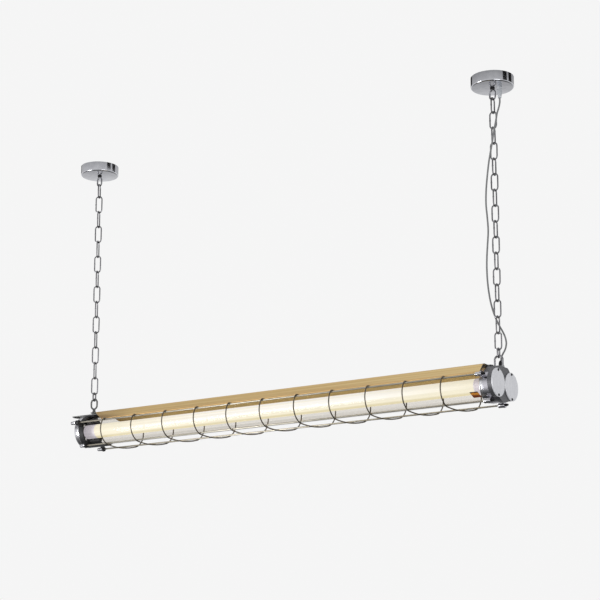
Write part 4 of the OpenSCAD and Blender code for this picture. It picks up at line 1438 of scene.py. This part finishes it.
@dataclass
class LightTube:
    """The lit tube in the glass, with its caps and pins."""

    start: float = -610.0
    end: float = 590.0
    r: float = 18.0
    cap_left: float = 36.0
    cap_right: float = 56.5

    def diffuser(self) -> None:
        """Spins the frosted tube."""
        left, right = self.start + self.cap_left, self.end - self.cap_right
        profile = [(left, self.r - 1.5), (left, self.r)]
        profile += [(left + (right - left) * i / 12, self.r) for i in range(1, 12)]
        profile += [(right, self.r), (right, self.r - 1.5)]
        shape = Shape().lathe(profile, (0, 0, 0), Axis.X, 64, 0.0, True)
        shape.finish("lit_diffuser", Finishes.lit, "light", ["light_tube"], True)

    def cap(self, name: str, low: float, high: float, node: str, way: int) -> None:
        """Spins one end cap with a crimped groove.

        Args:
            name: The piece's name.
            low: Its left end.
            high: Its right end.
            node: The frame's node that it stands for.
            way: 1 if its free end is on the right, and -1 on the left.
        """
        free, joint = (high, low) if way > 0 else (low, high)
        profile = [(joint, 0.01), (joint, self.r), (joint + way * 4, self.r),
                   (joint + way * 4.6, self.r - 0.5), (joint + way * 5.4, self.r - 0.5),
                   (joint + way * 6, self.r), (free - way * 1.5, self.r), (free, self.r - 1.5),
                   (free, 0.01)]
        shape = Shape().lathe(profile, (0, 0, 0), Axis.X, 64, 0.25)
        shape.finish(name, Finishes.cap, "light", [node], True)

    def build(self) -> None:
        """Builds the tube's pieces."""
        self.diffuser()
        self.cap("cap_left", self.start, self.start + self.cap_left, "tube_cap_left", -1)
        self.cap("cap_right", self.end - self.cap_right, self.end, "tube_cap_right", 1)


@dataclass
class LampEnds:
    """The fittings at both ends of the glass."""

    bow_wire: float = 4.5
    bow_width: float = 24.0
    bow_high: float = -659.95
    ring_length: float = 31.0
    ring_foot: float = 13.0
    rail_high: float = 44.5
    cover_y: float = 33.5
    cover_z: float = -3.0
    cover_r: float = 32.5
    cover_x: float = 602.8
    cover_t: float = 2.0
    screw_circle: float = 28.5

    def cup(self) -> None:
        """Spins the chrome cup with its stepped rim."""
        profile = [(-618, 0.01), (-622, 0.01)]
        profile += [(-622 + 4 - 4 * math.cos(a), 37.6 + 4 * math.sin(a))
                    for a in (math.radians(15 * i) for i in range(7))]
        profile += [(-609, 41.6), (-608.6, 41.1), (-608, 41.1), (-607.6, 41.6), (-606, 41.6),
                    (-606, 38), (-614, 38), (-614, 34), (-618, 34)]
        shape = Shape().lathe(profile, (0, 0, 0), Axis.X, 96, 0.0, True)
        shape.finish("end_cup_chrome", Finishes.chrome, "lamp", ["end_cup"], True)

    def clamp(self) -> None:
        """Spins the clamp ring with its groove."""
        profile = [(559, 37.8), (559, 40), (560.5, 41.5), (563.5, 41.5), (564, 40.9), (565, 40.9),
                   (565.5, 41.5), (568.5, 41.5), (570, 40), (570, 37.8)]
        shape = Shape().lathe(profile, (0, 0, 0), Axis.X, 96, 0.3, True)
        shape.finish("clamp_ring_chrome", Finishes.chrome, "lamp", ["clamp_ring"], True)

    def covers(self) -> None:
        """Spins the two round covers, each with a small step at its edge."""
        for name, y in (("cover_front", -self.cover_y), ("cover_rear", self.cover_y)):
            x, r = self.cover_x, self.cover_r
            profile = [(x, 0.01), (x, r), (x + self.cover_t - 0.6, r), (x + self.cover_t, r - 0.6),
                       (x + self.cover_t, 0.01)]
            shape = Shape().lathe(profile, (0, y, self.cover_z), Axis.X, 96, 0.0)
            shape.finish(name + "_plate", Finishes.cover, "lamp", [name], True)

    def cover_screws(self) -> None:
        """Spins the four black screws with hollow heads."""
        shape = Shape()
        x = self.cover_x + self.cover_t
        for y in (-self.cover_y, self.cover_y):
            for z in (-self.screw_circle, self.screw_circle):
                profile = [(x - 9, 0.01), (x - 9, 1.5), (x, 1.5), (x, 3), (x + 0.9, 2.9),
                           (x + 1.6, 2.2), (x + 1.6, 1.2), (x + 0.7, 0.9), (x + 0.7, 0.01)]
                shape.lathe(profile, (0, y, z + self.cover_z), Axis.X, 24)
        shape.finish("cover_screw_set", Finishes.black, "lamp", ["cover_screws"], True)

    def bow(self) -> None:
        """Sweeps the lifting bow and draws its nuts."""
        bend = (self.bow_width - self.bow_wire) / 2
        middle = self.bow_high - bend
        line = [Vector((RIGHT + bend, 0, z)) for z in (-690.5, -683, middle)]
        line += [Vector((RIGHT + bend * math.cos(a), 0, middle + bend * math.sin(a)))
                 for a in (math.radians(10 * i) for i in range(1, 19))]
        line += [Vector((RIGHT - bend, 0, z)) for z in (-683, -690.5)]
        shape = Shape().sweep(line, self.bow_wire / 2, 14)
        shape.finish("lifting_bow_rod", Finishes.chain_steel, "lamp", ["lifting_bow"])
        nuts = Shape()
        for side in (-1, 1):
            nuts.hexagon(8.5, 3, (RIGHT + side * bend, 0, 38), Axis.Z, 0.4, 30)
        nuts.finish("bow_nut_pair", Finishes.zinc, "lamp", ["bow_nuts"], True)

    def ring(self) -> None:
        """Sweeps the left eye nut: ring, neck, foot and stud."""
        low = self.rail_high + self.ring_foot
        line = oval(self.ring_length, self.bow_width, self.bow_wire,
                    (LEFT, 0, low + self.ring_length / 2), 0, 14)
        shape = Shape().sweep(line, self.bow_wire / 2, 14, True)
        seat = self.rail_high
        shape.lathe([(39, 0.01), (39, 3), (seat, 3), (seat, 5.6), (seat + 4, 5.6), (seat + 4.4, 9),
                     (seat + 5.6, 9), (seat + 6, 5), (low - 2, 3.8), (low + 1, 3.2),
                     (low + 2.2, 2.6), (low + 2.2, 0.01)], (LEFT, 0, 0), Axis.Z, 40)
        shape.finish("eye_nut_ring", Finishes.dark_steel, "lamp", ["eye_nut_left"], True)

    def gland(self) -> None:
        """Draws the cord gland: hexagon, neck and domed cap."""
        x, y = RIGHT, 12.0
        body = Shape().hexagon(13, 4, (x, y, 38), Axis.Z, 0.4)
        body.lathe([(33, 2.2), (33, 5), (38, 5), (38, 4), (46, 4), (46, 2.2)], (x, y, 0), Axis.Z,
                   32, 0.0, True)
        body.finish("gland_base", Finishes.dark_steel, "lamp", ["gland_body"], True)
        cap = Shape().lathe([(42, 4.1), (42, 5.8), (43, 5.8), (43.4, 5.4), (44, 5.8), (50, 5.8),
                             (53.5, 4.6), (55, 3.8), (55, 2.2), (47.2, 2.2), (47.2, 4.1)],
                            (x, y, 0), Axis.Z, 40, 0.2, True)
        cap.finish("gland_dome", Finishes.black_plastic, "lamp", ["gland_cap"], True)

    def build(self) -> None:
        """Builds the fittings of both ends."""
        self.cup()
        self.clamp()
        self.covers()
        self.cover_screws()
        self.bow()
        self.ring()
        self.gland()


class CarriedOver:
    """Finishes of the frame's own nodes that stay in view."""

    by_node: dict[str, Finish] = {
        "ceiling_brackets": Finishes.zinc,
        "bracket_posts": Finishes.zinc,
        "cord_grip_nut": Finishes.nylon,
        "ceiling_terminal": Finishes.ivory,
        "ceiling_lead": Finishes.rubber,
        "glass_gaskets": Finishes.rubber,
        "end_flange": Finishes.flange,
        "junction_box": Finishes.casting,
        "cover_gaskets": Finishes.rubber,
        "terminal_block": Finishes.ivory,
        "inner_leads": Finishes.rubber,
        "lampholder_left": Finishes.white,
        "lampholder_right": Finishes.white,
        "led_strip": Finishes.sink,
        "contact_pins": Finishes.pin_brass,
    }

    def dress(self) -> None:
        """Gives each node that is still shown its finish."""
        for name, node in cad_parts.items():
            if node.hide_render:
                continue
            finish = self.by_node[name]
            node.data.materials.clear()
            node.data.materials.append(finish.material())
            LOG.info("%s keeps its mesh", name)


# Studio


@dataclass
class Studio:
    """Camera, lamps and the pale surroundings."""

    eye: tuple[float, float, float] = (2.2103, -3.2987, -1.4458)
    heading: tuple[float, float] = (-0.54669, 0.83734)
    pitch: float = 11.0
    pixels: float = 1659.2
    picture: float = 600.0
    sensor: float = 36.0
    shift: float = 0.1485
    pale: float = 0.915
    lit: Colour = (0.95, 0.97, 1.0)
    strength: float = 0.55
    mirrored: tuple[tuple[float, float], ...] = (
        (-1.0, 0.05), (-0.76, 0.06), (-0.56, 0.24), (-0.385, 0.50), (-0.34, 0.58), (-0.16, 0.90),
        (0.16, 0.85), (0.33, 0.48), (0.40, 0.26), (0.50, 0.30), (0.76, 0.60), (1.0, 0.90))
    doors: tuple[tuple[float, float], ...] = ((-180, -144), (51, 77), (89, 116))
    door_heights: tuple[float, float] = (0.25, 0.5)
    door_tone: Colour = (0.01, 0.01, 0.01)

    def camera(self) -> None:
        """Sets the camera near the photograph's place, pitched up so that it needs little shift."""
        data = bpy.data.cameras.new("camera")
        data.sensor_width = self.sensor
        data.lens = self.pixels / self.picture * self.sensor
        data.shift_y = self.shift
        data.clip_end = 100.0
        camera = bpy.data.objects.new("camera", data)
        bpy.context.scene.collection.objects.link(camera)
        way = Vector((*self.heading, 0)).normalized()
        rise = math.radians(self.pitch)
        look = way * math.cos(rise) + Vector((0, 0, math.sin(rise)))
        camera.matrix_world = (Matrix.Translation(self.eye)
                               @ look.to_track_quat("-Z", "Y").to_matrix().to_4x4())
        bpy.context.scene.camera = camera

    def lamp(self, name: str, place: Point, target: Point, size: float, power: float) -> None:
        """Adds one soft square lamp.

        Args:
            name: Its name.
            place: Where it stands.
            target: Where it points.
            size: Its side, in metres.
            power: Its power, in watts.
        """
        data = bpy.data.lights.new(name, "AREA")
        data.size = size
        data.energy = power
        lamp = bpy.data.objects.new(name, data)
        bpy.context.scene.collection.objects.link(lamp)
        way = Vector(target) - Vector(place)
        lamp.matrix_world = (Matrix.Translation(place)
                             @ way.to_track_quat("-Z", "Y").to_matrix().to_4x4())

    def darken(self, nodes: Nodes, ray: Sequence[Socket], colour: Socket) -> Socket:
        """Puts dark openings into the mirrored room, a little above eye level.

        Args:
            nodes: The world's nodes.
            ray: The X, Y and Z sockets of the ray's direction.
            colour: The room's colour.

        Returns:
            The socket of the room's colour with the openings.
        """
        x, y, z = ray
        east, north = self.heading[1], -self.heading[0]
        side = nodes.maths("MULTIPLY_ADD", x, east, nodes.maths("MULTIPLY", y, north))
        near = nodes.maths("MULTIPLY_ADD", x, north, nodes.maths("MULTIPLY", y, -east))
        angle = nodes.maths("MULTIPLY", nodes.maths("ARCTAN2", side, near), 180 / math.pi)
        band = nodes.within(z, *self.door_heights)
        share = nodes.most(*(nodes.within(angle, *door) for door in self.doors))
        return nodes.mix(nodes.maths("MULTIPLY", share, band), colour, self.door_tone)

    def surroundings(self) -> None:
        """Makes the world: pale where it is seen, a room in mirrors, softer where it lights."""
        world = bpy.data.worlds.new("studio")
        bpy.context.scene.world = world
        world.use_nodes = True
        nodes = Nodes(world.node_tree, "ShaderNodeOutputWorld")
        ray = nodes.parts(nodes.node("ShaderNodeTexCoord").outputs["Generated"])
        ramp = nodes.node("ShaderNodeValToRGB", {0: nodes.spread(ray[2], -1.0, 1.0)})
        stops = ramp.color_ramp.elements
        for z, value in self.mirrored[1:-1]:
            stops.new((z + 1) / 2).color = (value, value, value, 1)
        for stop, (_, value) in ((stops[0], self.mirrored[0]), (stops[-1], self.mirrored[-1])):
            stop.color = (value, value * 0.99, value, 1)
        paths = nodes.node("ShaderNodeLightPath").outputs
        plain = nodes.most(paths["Is Camera Ray"], paths["Is Transmission Ray"])
        shown = nodes.most(plain, paths["Is Glossy Ray"])
        room = self.darken(nodes, ray, ramp.outputs[0])
        seen = nodes.node("ShaderNodeBackground", {
            "Color": nodes.mix(plain, room, (self.pale,) * 3)})
        light = nodes.node("ShaderNodeBackground", {"Color": self.lit, "Strength": self.strength})
        both = nodes.node("ShaderNodeMixShader", {0: shown, 1: light.outputs[0],
                                                  2: seen.outputs[0]})
        nodes.link(both.outputs[0], nodes.output.inputs["Surface"])

    def build(self) -> None:
        """Sets up the studio."""
        self.camera()
        self.lamp("key", (-1.8, -2.2, -1.5), (0.2, 0, -0.5), 1.2, 38)
        self.lamp("fill", (2.6, -1.6, -0.7), (0.3, 0, -0.6), 1.5, 16)
        self.surroundings()
        bpy.context.scene.view_settings.view_transform = "Standard"


def main() -> None:
    """Builds the studio and every sub-assembly in order."""
    logging.basicConfig(level=logging.INFO, format="%(message)s")
    Studio().build()
    SupplyCord().build()
    CeilingSide().build()
    Chains().build()
    ReflectorAndRail().build()
    GlassTube().build()
    LightTube().build()
    Guard().build()
    LampEnds().build()
    CarriedOver().dress()


if __name__ == "__main__":
    main()
